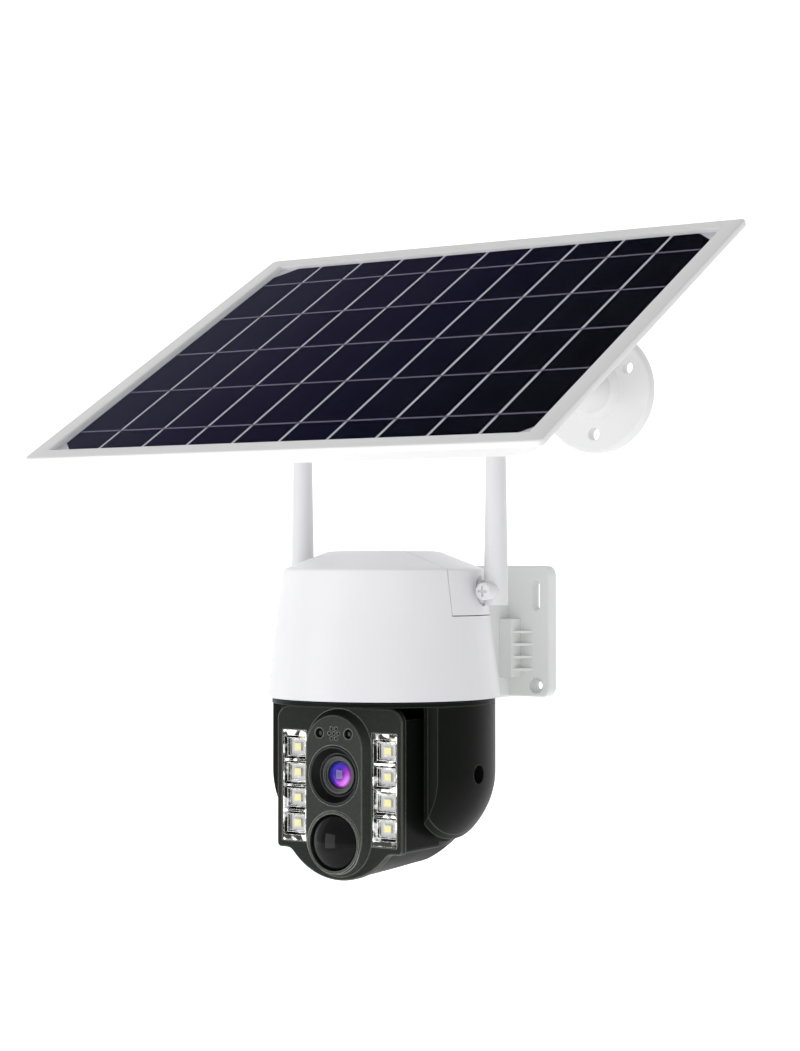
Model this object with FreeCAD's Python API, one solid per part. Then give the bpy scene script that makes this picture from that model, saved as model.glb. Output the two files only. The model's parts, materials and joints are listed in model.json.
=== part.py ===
import FreeCAD, Part
import os
from math import acos, atan2, cos, pi, radians, sin, sqrt, tan

# Solar-powered security camera: a pan and tilt camera on its own wall bracket, and above it
# a solar panel on a ball-jointed wall mount.
# Millimetres, +Z up. The wall is the plane Y = 0 and both units stand out from it towards -Y.
# The origin is the centre of the camera bracket's wall face. Left and right are -X and +X.

V = FreeCAD.Vector
X, Y, Z = V(1, 0, 0), V(0, 1, 0), V(0, 0, 1)

# ---- fits and clearances
slip = 0.4              # between faces that move past each other
shaft_gap = 0.05        # radial, pin or shaft in its bore
seat_gap = 0.1          # between faces of pieces that are fixed together
seam = 0.35             # visible groove between two covers
m2_r, m2_head_r, m2_head_t = 1.0, 1.7, 1.2
m3_r, m3_head_r, m3_head_t = 1.5, 2.75, 1.6
m4_r, m4_head_r, m4_head_t = 2.0, 3.6, 2.2

# ---- camera wall bracket
plate_w, plate_h, plate_t, plate_corner = 76.0, 63.0, 6.3, 4.5
fix_spacing = 61.0      # between the left and right fixing holes
fix_low_z = -26.0
fix_hole_r = 2.1
fix_head_r, fix_head_depth = 3.7, 2.6
slot_z, slot_w, slot_len = 17.0, 4.0, 14.0
arm_w, arm_low_z, arm_high_z, arm_wall = 31.0, -32.0, 14.0, 3.0
arm_end_t = 7.0         # thickness of the arm's end wall at the housing
arm_reach_in = 33.0     # how far the blank of the arm runs in past the housing's rim
arm_screw_x, arm_screw_low_z, arm_screw_high_z = 9.0, -17.0, 2.0
arm_pad_half, arm_pad_t = 14.0, 3.0
step_w, step_depth, step_low_z, step_high_z = 6.5, 9.0, -22.0, 6.0
gusset_t, gusset_pitch, gusset_count, gusset_reach = 1.4, 6.0, 4, 7.0

# ---- housing
pan_offset = 92.0       # pan axis to wall
rim_z, rim_r = -27.8, 53.0
side_h, shoulder_r = 57.6, 45.7
crown_h, crown_r = 8.2, 25.0
shell_t = 2.2
cover_front = -15.0     # front edge of the rear cover, from the pan axis
cover_low_z = 9.0
tab_angles = (61.0, 119.0)
tab_r, tab_up = 4.2, 6.5

# ---- housing base and pan drive
base_t = 3.0
gasket_t = 1.5
neck_r, neck_bore_r = 14.0, 9.0
bush_t = 2.0
gear_module, gear_teeth, pinion_teeth = 1.0, 48, 16
gear_t, gear_backlash = 5.0, 0.35
pan_motor_r, pan_motor_h = 12.0, 14.0
motor_shaft_r = 2.5
motor_ear_reach, motor_ear_t = 17.5, 1.2
motor_clearance = 4.0   # between the gears and the motor's face
standoff_ring_r, standoff_r = 37.0, 2.6
board_z, board_t, board_r = 4.0, 1.6, 38.5
cell_r, cell_len, cell_count = 9.2, 65.0, 3
tray_z, tray_t = 8.6, 1.6
speaker_r, speaker_t = 10.0, 6.0

# ---- service bay on the left rear of the housing
bay_z = -9.0
power_angle, reset_angle, socket_angle = 126.0, 140.0, 156.0
button_r, button_proud, button_travel = 3.2, 1.6, 0.8
button_flange_r, button_flange_t, button_depth = 4.2, 1.0, 0.87
socket_r, socket_proud = 4.5, 0.8
socket_flange_w, socket_flange_t = 1.5, 4.0

# ---- yoke that pans under the housing
yoke_r = 50.7
yoke_gap = 0.6          # under the housing base
yoke_disc_t = 2.0
tilt_drop = 33.2        # tilt axis below the housing rim
bowl_h = 43.2           # height of the rounded lower end, below the tilt axis
cheek_gap = 3.8         # between the head's sides and the cheeks
cheek_t = 2.0
cheek_front = -24.5     # front edges of the cheeks, from the pan axis
rear_wall_t, rear_wall_low = 2.6, -10.0
cover_t = 2.2
access_r = 4.3
pivot_r = 3.0
yoke_screw_u, yoke_screw_rise, yoke_screw_drop = 16.0, 15.0, 13.0

# ---- tilting head
face_w, face_top, face_low, face_corner = 67.0, 30.0, -33.5, 6.5
chin_r, chin_centre_z, chin_ease = 33.0, -13.5, 5.0
face_front, face_t = -36.0, 3.0
head_inset = 0.5
head_top = 25.6
head_back_r = 27.3
keel_r, keel_front_z = 41.5, -45.0
head_ball_r = 45.5
head_wall = 2.0
ear_w, ear_h, ear_t = 6.0, 3.6, 3.0
pill_w, pill_base_w = 29.8, 34.8
pill_top, pill_low = 26.5, -42.1
pill_proud, pill_wall = 4.0, 2.4
lens_bezel_r, lens_barrel_r, lens_r = 13.2, 8.7, 5.9
lens_len, lens_mouth_t, lens_bulge, lens_edge_t = 17.0, 1.8, 1.6, 3.8
pir_z, pir_ring_r, pir_r, pir_dome_h, pir_wall = -29.4, 13.9, 12.4, 4.5, 1.2
pir_ring_proud = 0.5
sensor_x, sensor_z, sensor_r = 7.7, 18.5, 2.2
mic_hole_r, mic_pitch = 0.65, 2.5
led_x, led_z, led_w, led_h = 24.1, -5.7, 13.0, 49.4
led_count, led_pitch = 4, 11.3
cup_w, cup_h, cup_floor_w, cup_floor_h, cup_depth = 10.4, 9.9, 5.6, 5.2, 2.2
chip_w, chip_h, chip_t = 4.0, 3.7, 1.0
reflector_sunk, reflector_t = 0.4, 3.0
tilt_motor_r, tilt_motor_len, tilt_motor_shift = 12.0, 16.0, 8.0

# ---- antennas
antenna_gap, antenna_back, antenna_z = 1.1, 10.6, 20.0
antenna_r, antenna_tip_r, antenna_len = 5.35, 4.2, 79.0
antenna_heel = 6.2
pad_r, pad_sunk, pad_depth = 6.8, 1.33, 4.4
collar_r, collar_t = 5.2, 1.2
tongue_r, tongue_t, tongue_h = 4.4, 3.4, 5.4
fold_pin_r = 1.3
hinge_cap_r, hinge_cap_len, cap_slot_w, cap_slot_depth = 3.9, 6.5, 0.9, 0.8
spigot_r, spigot_len = 2.8, 5.5

# ---- solar panel's wall mount
mount_x, mount_z = 61.5, 114.0
disc_r, disc_t, disc_hole_r, disc_pcd, disc_holes = 29.4, 5.5, 2.9, 41.0, 3
stem_r, stem_end_r = 10.9, 7.5
mount_reach = 128.3     # ball centre to wall
ball_r, stud_r = 9.0, 3.0
clamp_wall, head_slot = 3.5, 7.2
lobe_r, lobe_count = 2.6, 6
clamp_screw_gap, clamp_screw_r = 1.6, 2.0
knob_r, knob_t = 9.0, 9.0
spigot_end_r, spigot_end_len = 5.0, 10.0
fork_land = 1.9         # between the clamping screw and the bottom of the fork's slot
hub_len = 10.5

# ---- solar panel
panel_tilt = 30.2
panel_w, panel_h = 241.0, 198.0
lip_t, panel_corner = 3.0, 2.5
border_x, border_y = 8.4, 7.4
ball_below = 36.0       # ball centre below the panel's top face
ball_up = 41.2          # ball centre from the panel's middle, up the slope
glass_sunk, glass_t = 1.1, 0.7
ribbon_t, cell_t, sheet_t = 0.15, 0.3, 0.75
laminate_lap = 3.0
column_count, column_pitch, column_gap = 10, 22.3, 1.8
column_h, cell_chamfer = 182.0, 9.5
ribbon_count, ribbon_w = 5, 0.9
back_inset, back_low_inset, back_depth, back_wall = 4.0, 16.0, 14.0, 2.2
boss_r, boss_h = 9.0, 6.0
rib_xs, rib_half, rib_end = (-60.0, 0.0, 60.0), 0.8, 18.0
box_w, box_h, box_t, box_y, box_screw_inset = 56.0, 36.0, 8.0, -30.0, 5.0
gland_r, gland_len = 5.0, 9.0

# ---- places worked out from the sizes above
pan_y = -pan_offset
shoulder_z = rim_z + side_h
crown_z = shoulder_z + crown_h
tilt_z = rim_z - tilt_drop
slot_half = face_w / 2 + cheek_gap
yoke_top = rim_z - yoke_gap
yoke_under = yoke_top - yoke_disc_t
base_top = rim_z + base_t
gear_low = base_top + gasket_t + 1.0
gear_high = gear_low + gear_t
gear_reach = gear_module * (gear_teeth + pinion_teeth) / 2
motor_face_z = gear_high + motor_clearance
face_back = face_front + face_t
pill_front = face_front - pill_proud
led_board_front = face_front + reflector_sunk + reflector_t
antenna_y = pan_y + antenna_back
ball = V(mount_x, -mount_reach, mount_z)
head_r = head_half_w = ball_r + clamp_wall
clamp_screw_back = ball_r + clamp_screw_gap + clamp_screw_r
fork_root = clamp_screw_back + clamp_screw_r + fork_land
far = 200.0             # beyond every face of the camera unit


def box(x0, x1, y0, y1, z0, z1):
    return Part.makeBox(x1 - x0, y1 - y0, z1 - z0, V(x0, y0, z0))


def block(centre, sx, sy, sz):
    return Part.makeBox(sx, sy, sz, centre - V(sx / 2, sy / 2, sz / 2))


def rod(start, axis, radius, length):
    return Part.makeCylinder(radius, length, start, axis)


def tube(start, axis, outer, inner, length):
    return rod(start, axis, outer, length).cut(rod(start, axis, inner, length))


def cone(start, axis, r0, r1, length):
    return Part.makeCone(r0, r1, length, start, axis)


def join(first, *others):
    return first.fuse(list(others)).removeSplitter()


def cut(solid, *tools):
    return solid.cut(list(tools))


def group(solids):
    return Part.makeCompound(list(solids))


def lathe(profile, x=0.0, y=pan_y):
    """Turn (radius, z) points about the vertical line through x, y."""
    points = [V(x + r, y, z) for r, z in profile]
    face = Part.Face(Part.makePolygon(points + points[:1]))
    return face.revolve(V(x, y, 0), Z, 360)


def soften(solid, radius, pick):
    """Round the edges whose middle point satisfies pick."""
    edges = [e for e in solid.Edges if pick(e.CenterOfMass, e)]
    return solid.makeFillet(radius, edges)


def along(edge, axis):
    ends = [v.Point for v in edge.Vertexes]
    return len(ends) == 2 and (ends[1] - ends[0]).normalize().cross(axis).Length < 1e-6


def polar(angle, radius, z, y=pan_y):
    """Point at an angle from +X about the pan axis; 90 degrees is towards the wall."""
    return V(radius * cos(radians(angle)), y + radius * sin(radians(angle)), z)


def radial(angle):
    return V(cos(radians(angle)), sin(radians(angle)), 0)


def screw(seat, axis, radius, head_radius, head_t, length):
    """Pan-head screw: its head stands on seat and its shank runs along axis."""
    shank = rod(seat, axis, radius, length)
    head = rod(seat - axis * head_t, axis, head_radius, head_t)
    recess = rod(seat - axis * head_t, axis, radius * 0.55, head_t * 0.6)
    return join(shank, head).cut(recess)


def involute(base, radius):
    angle = acos(min(1.0, base / radius))
    return tan(angle) - angle


def spur_gear(centre, teeth, thickness, bore, phase):
    """Spur gear with 20 degree involute teeth; phase is the angle of one tooth's middle."""
    pitch_r = gear_module * teeth / 2
    base_r = pitch_r * cos(radians(20))
    root_r, tip_r = pitch_r - 1.3 * gear_module, pitch_r + 0.95 * gear_module
    half = pi / (2 * teeth) - gear_backlash / 2 / pitch_r + involute(base_r, pitch_r)
    flank = [max(root_r, base_r) + (tip_r - max(root_r, base_r)) * k / 4 for k in range(5)]
    radii = ([root_r] if root_r < base_r else []) + flank
    points = []
    for tooth in range(teeth):
        middle = radians(phase) + 2 * pi * tooth / teeth
        sides = [(r, half - involute(base_r, max(r, base_r))) for r in radii]
        rising = [(r, middle - a) for r, a in sides]
        falling = [(r, middle + a) for r, a in reversed(sides)]
        points += [centre + V(r * cos(a), r * sin(a), 0) for r, a in rising + falling]
    face = Part.Face(Part.makePolygon(points + points[:1]))
    return face.extrude(Z * thickness).cut(rod(centre, Z, bore, thickness))


# ---- housing

def side_radius(z):
    """Outer radius of the housing's tapered side at height z."""
    return rim_r + (shoulder_r - rim_r) * (z - rim_z) / side_h


def housing_shell():
    outer = lathe([(0, rim_z), (rim_r, rim_z), (shoulder_r, shoulder_z), (crown_r, crown_z), (0, crown_z)])
    outer = soften(outer, 1.6, lambda c, e: abs(c.z - shoulder_z) < 0.1 and len(e.Vertexes) == 1)
    outer = soften(outer, 9.0, lambda c, e: abs(c.z - crown_z) < 0.1 and len(e.Vertexes) == 1)
    inner = lathe([(0, rim_z), (rim_r - shell_t, rim_z), (shoulder_r - shell_t, shoulder_z - 0.6 * shell_t),
                   (crown_r, crown_z - shell_t), (0, crown_z - shell_t)])
    return outer.cut(inner), inner


def cover_zone(gap):
    """Everything behind and above the seam of the rear cover."""
    far = 2 * rim_r
    return box(-far, far, pan_y + cover_front + gap, pan_y + far, cover_low_z + gap, crown_z + far)


def bay_bores():
    reach = rim_r + 5
    sizes = ((power_angle, button_r + slip / 2), (reset_angle, button_r + slip / 2), (socket_angle, socket_r))
    return [rod(polar(a, shoulder_r - 8, bay_z), radial(a), r, reach - shoulder_r + 8) for a, r in sizes]


def arm_screw_places():
    return [(x, z) for x in (-arm_screw_x, arm_screw_x) for z in (arm_screw_low_z, arm_screw_high_z)]


def side_x(z, back):
    """How far out the housing's side is, at height z and a distance behind the pan axis."""
    return sqrt(side_radius(z) ** 2 - back ** 2)


arm_pad_y = pan_y + side_radius(arm_high_z) - shell_t - arm_pad_t
antenna_x = side_x(antenna_z - antenna_heel, antenna_back) + antenna_r + antenna_gap
pad_x = side_x(antenna_z, antenna_back) - pad_sunk
tab_z = cover_low_z + tab_up


def front_shell(shell, inner):
    body = shell.cut(cover_zone(0))
    pad = box(-arm_pad_half, arm_pad_half, arm_pad_y, 0, arm_low_z + 10, 6.0).common(inner)
    body = join(body, pad)
    wall = shell_t + seat_gap
    lip_r = side_radius(cover_low_z)
    tab_outer = shoulder_r - wall
    for angle in tab_angles:
        tab = rod(polar(angle, tab_outer - 4, tab_z), radial(angle), tab_r, 6.0)
        foot = box(-tab_r, tab_r, -3.8, 8, cover_low_z - 12, tab_z)
        foot.Placement = FreeCAD.Placement(polar(angle, tab_outer - 0.2, 0), FreeCAD.Rotation(Z, angle - 90))
        lug = tab.fuse(foot).common(inner)
        keep = lathe([(0, cover_low_z - 14), (lip_r + 1, cover_low_z - 14), (lip_r + 1, cover_low_z),
                      (lip_r - wall, cover_low_z), (side_radius(tab_z + 5) - wall, tab_z + 5), (0, tab_z + 5)])
        lug = lug.common(keep)
        body = join(body, lug).cut(rod(polar(angle, 30, tab_z), radial(angle), m3_r, 30))
    bores = [rod(V(x, arm_pad_y - 1, z), Y, m4_r, 30) for x, z in arm_screw_places()]
    return cut(body, *bores, *bay_bores())


def rear_cover(shell, inner):
    body = shell.common(cover_zone(seam))
    for side in (-1, 1):
        pad = rod(V(side * (pad_x - pad_depth), antenna_y, antenna_z), X * side, pad_r + 1.2, pad_depth + 3.0)
        body = join(body, pad.common(inner))
        body = body.cut(rod(V(side * pad_x, antenna_y, antenna_z), X * side, pad_r, 10))
        body = body.cut(rod(V(side * 30, antenna_y, antenna_z), X * side, spigot_r + shaft_gap, 30))
    for angle in tab_angles:
        face_r = side_radius(tab_z) - 1.2
        body = body.cut(rod(polar(angle, 30, tab_z), radial(angle), m3_r, 30))
        body = body.cut(rod(polar(angle, face_r, tab_z), radial(angle), m3_head_r + seat_gap, 10))
    return body


def cover_screws():
    solids = []
    for angle in tab_angles:
        seat = polar(angle, side_radius(tab_z) - 1.2, tab_z)
        solids.append(screw(seat, radial(angle) * -1, m3_r, m3_head_r, m3_head_t - 0.4, 5.0))
    return solids


def base_screw_angles():
    return (20.0, 110.0, 200.0, 290.0)


def base_plate():
    plate = rod(V(0, pan_y, rim_z), Z, side_radius(base_top) - shell_t - seat_gap, base_t)
    solid = plate.cut(rod(V(0, pan_y, rim_z), Z, neck_r + shaft_gap + bush_t, base_t))
    for side in (-1, 1):
        foot = V(side * motor_ear_reach, pan_y - gear_reach, base_top)
        solid = join(solid, rod(foot, Z, 3.2, motor_face_z - base_top))
    return solid


def rim_gasket():
    outer = side_radius(base_top + gasket_t) - shell_t - seat_gap
    return tube(V(0, pan_y, base_top), Z, outer, outer - 3.0, gasket_t)


def pan_bush():
    inner = neck_r + shaft_gap
    sleeve = tube(V(0, pan_y, rim_z), Z, inner + bush_t, inner, base_t + 0.6)
    flange = tube(V(0, pan_y, yoke_top + slip / 2), Z, inner + bush_t + 2.0, inner, yoke_gap - slip / 2)
    return join(sleeve, flange)


def pan_motor():
    axis = V(0, pan_y - gear_reach, 0)
    can = rod(axis + Z * (motor_face_z + motor_ear_t), Z, pan_motor_r, pan_motor_h)
    ears = block(axis + Z * (motor_face_z + motor_ear_t / 2), 2 * motor_ear_reach, 7.0, motor_ear_t)
    for side in (-1, 1):
        end = rod(axis + V(side * motor_ear_reach, 0, motor_face_z), Z, 3.5, motor_ear_t)
        ears = ears.fuse(end)
    plate = rod(axis + Z * motor_face_z, Z, pan_motor_r, motor_ear_t).fuse(ears)
    nose = rod(axis + Z * (motor_face_z - 2.0), Z, 4.5, 2.0)
    body = join(can, plate, nose)
    return body.cut(rod(axis + Z * (gear_low - 1), Z, motor_shaft_r + shaft_gap, gear_t + 14.0))


def pan_pinion():
    axis = V(0, pan_y - gear_reach, 0)
    wheel = spur_gear(axis + Z * gear_low, pinion_teeth, gear_t, motor_shaft_r, 90 + 180 / pinion_teeth)
    shaft = rod(axis + Z * (gear_low - 0.8), Z, motor_shaft_r, gear_t + 12.0)
    return join(wheel, shaft)


def board_standoffs():
    low = base_top
    return [rod(polar(a, standoff_ring_r, low), Z, standoff_r, board_z - low) for a in (45, 135, 225, 315)]


def main_board():
    plate = rod(V(0, pan_y, board_z), Z, board_r, board_t)
    motor_top = V(0, pan_y - gear_reach, board_z)
    plate = plate.cut(rod(motor_top, Z, pan_motor_r + 1.5, board_t))
    plate = plate.cut(rod(V(0, pan_y, board_z), Z, neck_bore_r - 1, board_t))
    top = board_z + board_t
    parts = ((-18.0, 4.0, 14.0, 14.0, 1.4), (16.0, 8.0, 10.0, 8.0, 1.2), (19.0, -12.0, 8.0, 12.0, 2.4),
             (-20.0, -14.0, 9.0, 9.0, 2.2), (-4.0, 24.0, 16.0, 7.0, 2.2))
    chips = [block(V(x, pan_y + y, top + h / 2), sx, sy, h) for x, y, sx, sy, h in parts]
    return group([plate] + chips)


def cell_places():
    pitch = 2 * cell_r + 1.2
    return [(k - (cell_count - 1) / 2) * pitch for k in range(cell_count)]


def battery_cells():
    axis_z = tray_z + tray_t + cell_r + seat_gap
    solids = []
    for u in cell_places():
        can = rod(V(-cell_len / 2, pan_y + u, axis_z), X, cell_r, cell_len - 1.2)
        button = rod(V(cell_len / 2 - 1.2, pan_y + u, axis_z), X, 3.0, 1.2)
        solids.append(join(can, button))
    return solids


def battery_holder():
    half_x = cell_len / 2 + 0.4
    half_y = max(cell_places()) + 6.0
    tray = box(-half_x - 1.4, half_x + 1.4, pan_y - half_y, pan_y + half_y, tray_z, tray_z + tray_t)
    ends = [box(min(a, b), max(a, b), pan_y - half_y, pan_y + half_y, tray_z, tray_z + 9.0)
            for a, b in ((-half_x - 1.4, -half_x), (half_x, half_x + 1.4))]
    feet = [rod(V(x, pan_y + y, board_z + board_t), Z, 2.2, tray_z - board_z - board_t)
            for x in (-28.0, 28.0) for y in (-20.0, 20.0)]
    return join(tray, *ends, *feet)


def speaker():
    foot = V(-standoff_ring_r + 1.5, pan_y, base_top)
    basket = tube(foot, Z, speaker_r, speaker_r - 1.2, 3.0)
    diaphragm = rod(foot + Z * 1.0, Z, speaker_r - 1.2, 1.0)
    magnet = rod(foot + Z * 2.0, Z, speaker_r - 4.0, speaker_t - 2.0)
    return join(basket, diaphragm, magnet)


def base_screws():
    ring = side_radius(rim_z) - shell_t - 7.5
    return [rod(polar(a, ring, base_top), Z, m3_head_r, m3_head_t) for a in base_screw_angles()]


def charging_socket():
    flange_r = socket_r + socket_flange_w
    seat_r = side_radius(bay_z + flange_r) - shell_t - slip / 2 - socket_flange_t
    seat = polar(socket_angle, seat_r, bay_z)
    out = radial(socket_angle)
    body = rod(seat, out, socket_r, side_radius(bay_z) + socket_proud - seat_r)
    flange = rod(seat, out, flange_r, socket_flange_t)
    floor = seat + out * 2.0
    return join(body, flange).cut(rod(floor, out, 2.6, 20)).fuse(rod(floor, out, 0.9, 4.5))


def button_seat_r():
    """Outer face of the buttons' inner flanges, from the pan axis."""
    return side_radius(bay_z + button_flange_r) - shell_t - button_depth


def button(angle):
    """Sprung plunger with an inner flange that keeps it in the wall."""
    out = radial(angle)
    face_r = side_radius(bay_z) + button_proud
    seat_r = button_seat_r()
    stem = rod(polar(angle, seat_r, bay_z), out, button_r, face_r - seat_r)
    tip = polar(angle, face_r, bay_z)
    stem = soften(stem, 0.5, lambda c, e: (c - tip).Length < 0.1 and len(e.Vertexes) == 1)
    flange = rod(polar(angle, seat_r - button_flange_t, bay_z), out, button_flange_r, button_flange_t)
    return join(stem, flange)


def button_board():
    """Small upright board with one switch behind each button."""
    back_r = button_seat_r() - button_flange_t - button_travel - 0.3
    solids = []
    for angle in (power_angle, reset_angle):
        out = radial(angle)
        solids.append(rod(polar(angle, back_r - 2.0, bay_z), out, 1.8, 2.0))
        base = box(-4.5, 4.5, -1.6, 0.0, base_top + gasket_t + 0.2, bay_z + 6.0)
        base.Placement = FreeCAD.Placement(polar(angle, back_r - 2.0, 0), FreeCAD.Rotation(Z, angle - 90))
        solids.append(base)
    return solids


# ---- wall bracket

def rounded_plate(w, h, t, corner):
    plate = box(-w / 2, w / 2, -t, 0, -h / 2, h / 2)
    return soften(plate, corner, lambda c, e: along(e, Y))


def bracket(inner):
    plate = rounded_plate(plate_w, plate_h, plate_t, plate_corner)
    plate = soften(plate, 1.2, lambda c, e: abs(c.y + plate_t) < 0.01)
    arm = box(-arm_w / 2, arm_w / 2, pan_y + rim_r - arm_reach_in, 0, arm_low_z, arm_high_z)
    arm = soften(arm, 1.5, lambda c, e: along(e, Y))
    solids = [arm]
    for side in (-1, 1):
        x0, x1 = sorted((side * arm_w / 2, side * (arm_w / 2 + step_w)))
        solids.append(box(x0, x1, -plate_t - step_depth, -1.0, step_low_z, step_high_z))
        for k in range(gusset_count):
            z = step_low_z + 3.0 + k * gusset_pitch
            foot = side * (arm_w / 2 + step_w)
            toe = side * (arm_w / 2 + step_w + gusset_reach)
            rib = Part.makePolygon([V(foot, -plate_t + 0.5, z), V(toe, -plate_t + 0.5, z),
                                    V(foot, -plate_t - step_depth + 2, z), V(foot, -plate_t + 0.5, z)])
            solids.append(Part.Face(rib).extrude(Z * gusset_t))
    body = join(plate, *solids)
    lip = side_radius(arm_low_z)
    seat = lathe([(0, arm_low_z - 1), (lip + seat_gap, arm_low_z - 1), (rim_r + seat_gap, rim_z),
                  (shoulder_r + seat_gap, shoulder_z), (0, shoulder_z)])
    body = body.cut(seat)
    hollow_end = pan_y + rim_r + arm_end_t
    body = body.cut(box(-arm_w / 2 + arm_wall, arm_w / 2 - arm_wall, hollow_end, -plate_t,
                        arm_low_z - 1, arm_high_z - arm_wall))
    tools = []
    for x in (-fix_spacing / 2, fix_spacing / 2):
        tools.append(rod(V(x, 1, fix_low_z), Y * -1, fix_hole_r, plate_t + 2))
        tools.append(rod(V(x, -plate_t + fix_head_depth, fix_low_z), Y * -1, fix_head_r, 10))
        half = (slot_len - slot_w) / 2
        tools.append(box(x - slot_w / 2, x + slot_w / 2, -plate_t - 1, 1, slot_z - half, slot_z + half))
        for end in (-half, half):
            tools.append(rod(V(x, 1, slot_z + end), Y * -1, slot_w / 2, plate_t + 2))
    tools += [rod(V(x, hollow_end + 1, z), Y * -1, m4_r, 30) for x, z in arm_screw_places()]
    return cut(body, *tools)


def arm_screws():
    length = pan_y + rim_r + arm_end_t - arm_pad_y + 1.0
    return [screw(V(x, arm_pad_y, z), Y, m4_r, m4_head_r, m4_head_t, length) for x, z in arm_screw_places()]


# ---- yoke

def yoke_body(inset):
    """Turned outer form of the yoke: a cylinder with an elliptical lower end."""
    r, h = yoke_r - inset, bowl_h - inset
    centre = V(0, pan_y, tilt_z)
    top, side, low = V(0, pan_y, yoke_top), V(r, pan_y, tilt_z), V(0, pan_y, tilt_z - h)
    curve = Part.ArcOfEllipse(Part.Ellipse(side, low, centre), 0, pi / 2).toShape()
    edges = [Part.makeLine(top, V(r, pan_y, yoke_top)), Part.makeLine(V(r, pan_y, yoke_top), side),
             curve, Part.makeLine(low, top)]
    return Part.Face(Part.Wire(edges)).revolve(V(0, pan_y, 0), Z, 360)


yoke_screw_places = [(yoke_screw_u, tilt_z + yoke_screw_rise), (yoke_screw_u, tilt_z - yoke_screw_drop)]


def side_zone(x_from, front, top):
    """Space to the right of x_from, behind front and below top."""
    return box(x_from, far, pan_y + front, far, -far, top)


def yoke_frame():
    disc = yoke_body(0).common(box(-far, far, -far, far, yoke_under, yoke_top))
    neck = rod(V(0, pan_y, yoke_top - 1), Z, neck_r, gear_high + 2.5 - yoke_top + 1)
    parts = [neck]
    for side in (-1, 1):
        x0, x1 = sorted((side * slot_half, side * (slot_half + cheek_t)))
        cheek = yoke_body(0).common(box(x0, x1, pan_y + cheek_front, far, -far, yoke_under + 0.5))
        parts.append(cheek)
        parts.append(rod(V(side * (slot_half - 1.6), pan_y, tilt_z), X * side, 6.5, cheek_t + 1.6 + 2.0))
    wall = yoke_body(0).cut(yoke_body(rear_wall_t))
    wall = wall.common(box(-slot_half - 0.5, slot_half + 0.5, pan_y + 5, far, tilt_z + rear_wall_low,
                           yoke_under + 0.5))
    frame = join(disc, *parts, wall)
    tools = [rod(V(0, pan_y, yoke_under - 1), Z, neck_bore_r, 60),
             rod(V(-slot_half + 5, pan_y, tilt_z), X * -1, pivot_r + shaft_gap, 20),
             rod(V(slot_half - 5, pan_y, tilt_z), X, motor_shaft_r, 20)]
    for side in (-1, 1):
        tools += [rod(V(side * 20, pan_y + u, z), X * side, m3_r, 24) for u, z in yoke_screw_places]
    return cut(frame, *tools)


def yoke_cover():
    """Right-hand outer cover of the yoke; the left one is its mirror image."""
    open_x = slot_half + cheek_t + seat_gap
    zone = side_zone(open_x, cheek_front, yoke_under - seat_gap)
    cavity = side_zone(open_x - 1, cheek_front + cover_t, yoke_under - seat_gap - cover_t)
    outer = yoke_body(0)
    shell = outer.common(zone).cut(yoke_body(cover_t).common(cavity))
    collar = rod(V(open_x + 2.0, pan_y, tilt_z), X, access_r + 2.0, 20).common(outer)
    posts = [rod(V(open_x, pan_y + u, z), X, 3.2, 20).common(outer) for u, z in yoke_screw_places]
    shell = join(shell, collar, *posts)
    tools = [rod(V(open_x - 1, pan_y, tilt_z), X, access_r, 30)]
    tools += [rod(V(open_x - 1, pan_y + u, z), X, m3_r, 6.0) for u, z in yoke_screw_places]
    return cut(shell, *tools)


def yoke_screws():
    solids = []
    for side in (-1, 1):
        for u, z in yoke_screw_places:
            seat = V(side * slot_half, pan_y + u, z)
            solids.append(screw(seat, X * side, m3_r, m3_head_r, m3_head_t, cheek_t + seat_gap + 4.5))
    return solids


def pan_gear():
    return spur_gear(V(0, pan_y, gear_low), gear_teeth, gear_t, neck_r, -90)


def neck_ring():
    ring = tube(V(0, pan_y, gear_high), Z, neck_r + 2.2, neck_r, 1.2)
    return ring.cut(box(-2, 2, pan_y, pan_y + 30, gear_high - 1, gear_high + 3))


def tilt_shaft():
    start = slot_half + cheek_t + 2.0
    shaft = rod(V(start, pan_y, tilt_z), X * -1, motor_shaft_r, start - (face_w / 2 - head_inset - 16.0))
    nut = rod(V(start, pan_y, tilt_z), X, access_r - 0.4, 1.8)
    return join(shaft, nut)


# ---- tilting head; its own places are from the tilt axis: x, u (+ back), w (+ up)

def head_point(x, u, w):
    return V(x, pan_y + u, tilt_z + w)


def face_prism(inset, front, back):
    """Upright outline of the head's face, with the rounded chin, between two depths."""
    half = face_w / 2 - inset
    slab = box(-half, half, pan_y + front, pan_y + back, tilt_z + face_low + inset, tilt_z + face_top - inset)
    slab = soften(slab, face_corner - inset, lambda c, e: along(e, Y) and c.z > tilt_z)
    slab = soften(slab, 2.0, lambda c, e: along(e, Y) and c.z < tilt_z and abs(c.x) > half - 0.1)
    chin = rod(head_point(0, front, chin_centre_z), Y, chin_r - inset, back - front)
    chin = chin.common(box(-half, half, -far, far, -far, tilt_z + face_low + 6))
    prism = join(slab, chin)
    corner_x = sqrt((chin_r - inset) ** 2 - (face_low + inset - chin_centre_z) ** 2)
    return soften(prism, chin_ease, lambda c, e: along(e, Y) and abs(abs(c.x) - corner_x) < 0.5
                  and abs(c.z - tilt_z - face_low - inset) < 0.5)


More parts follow.
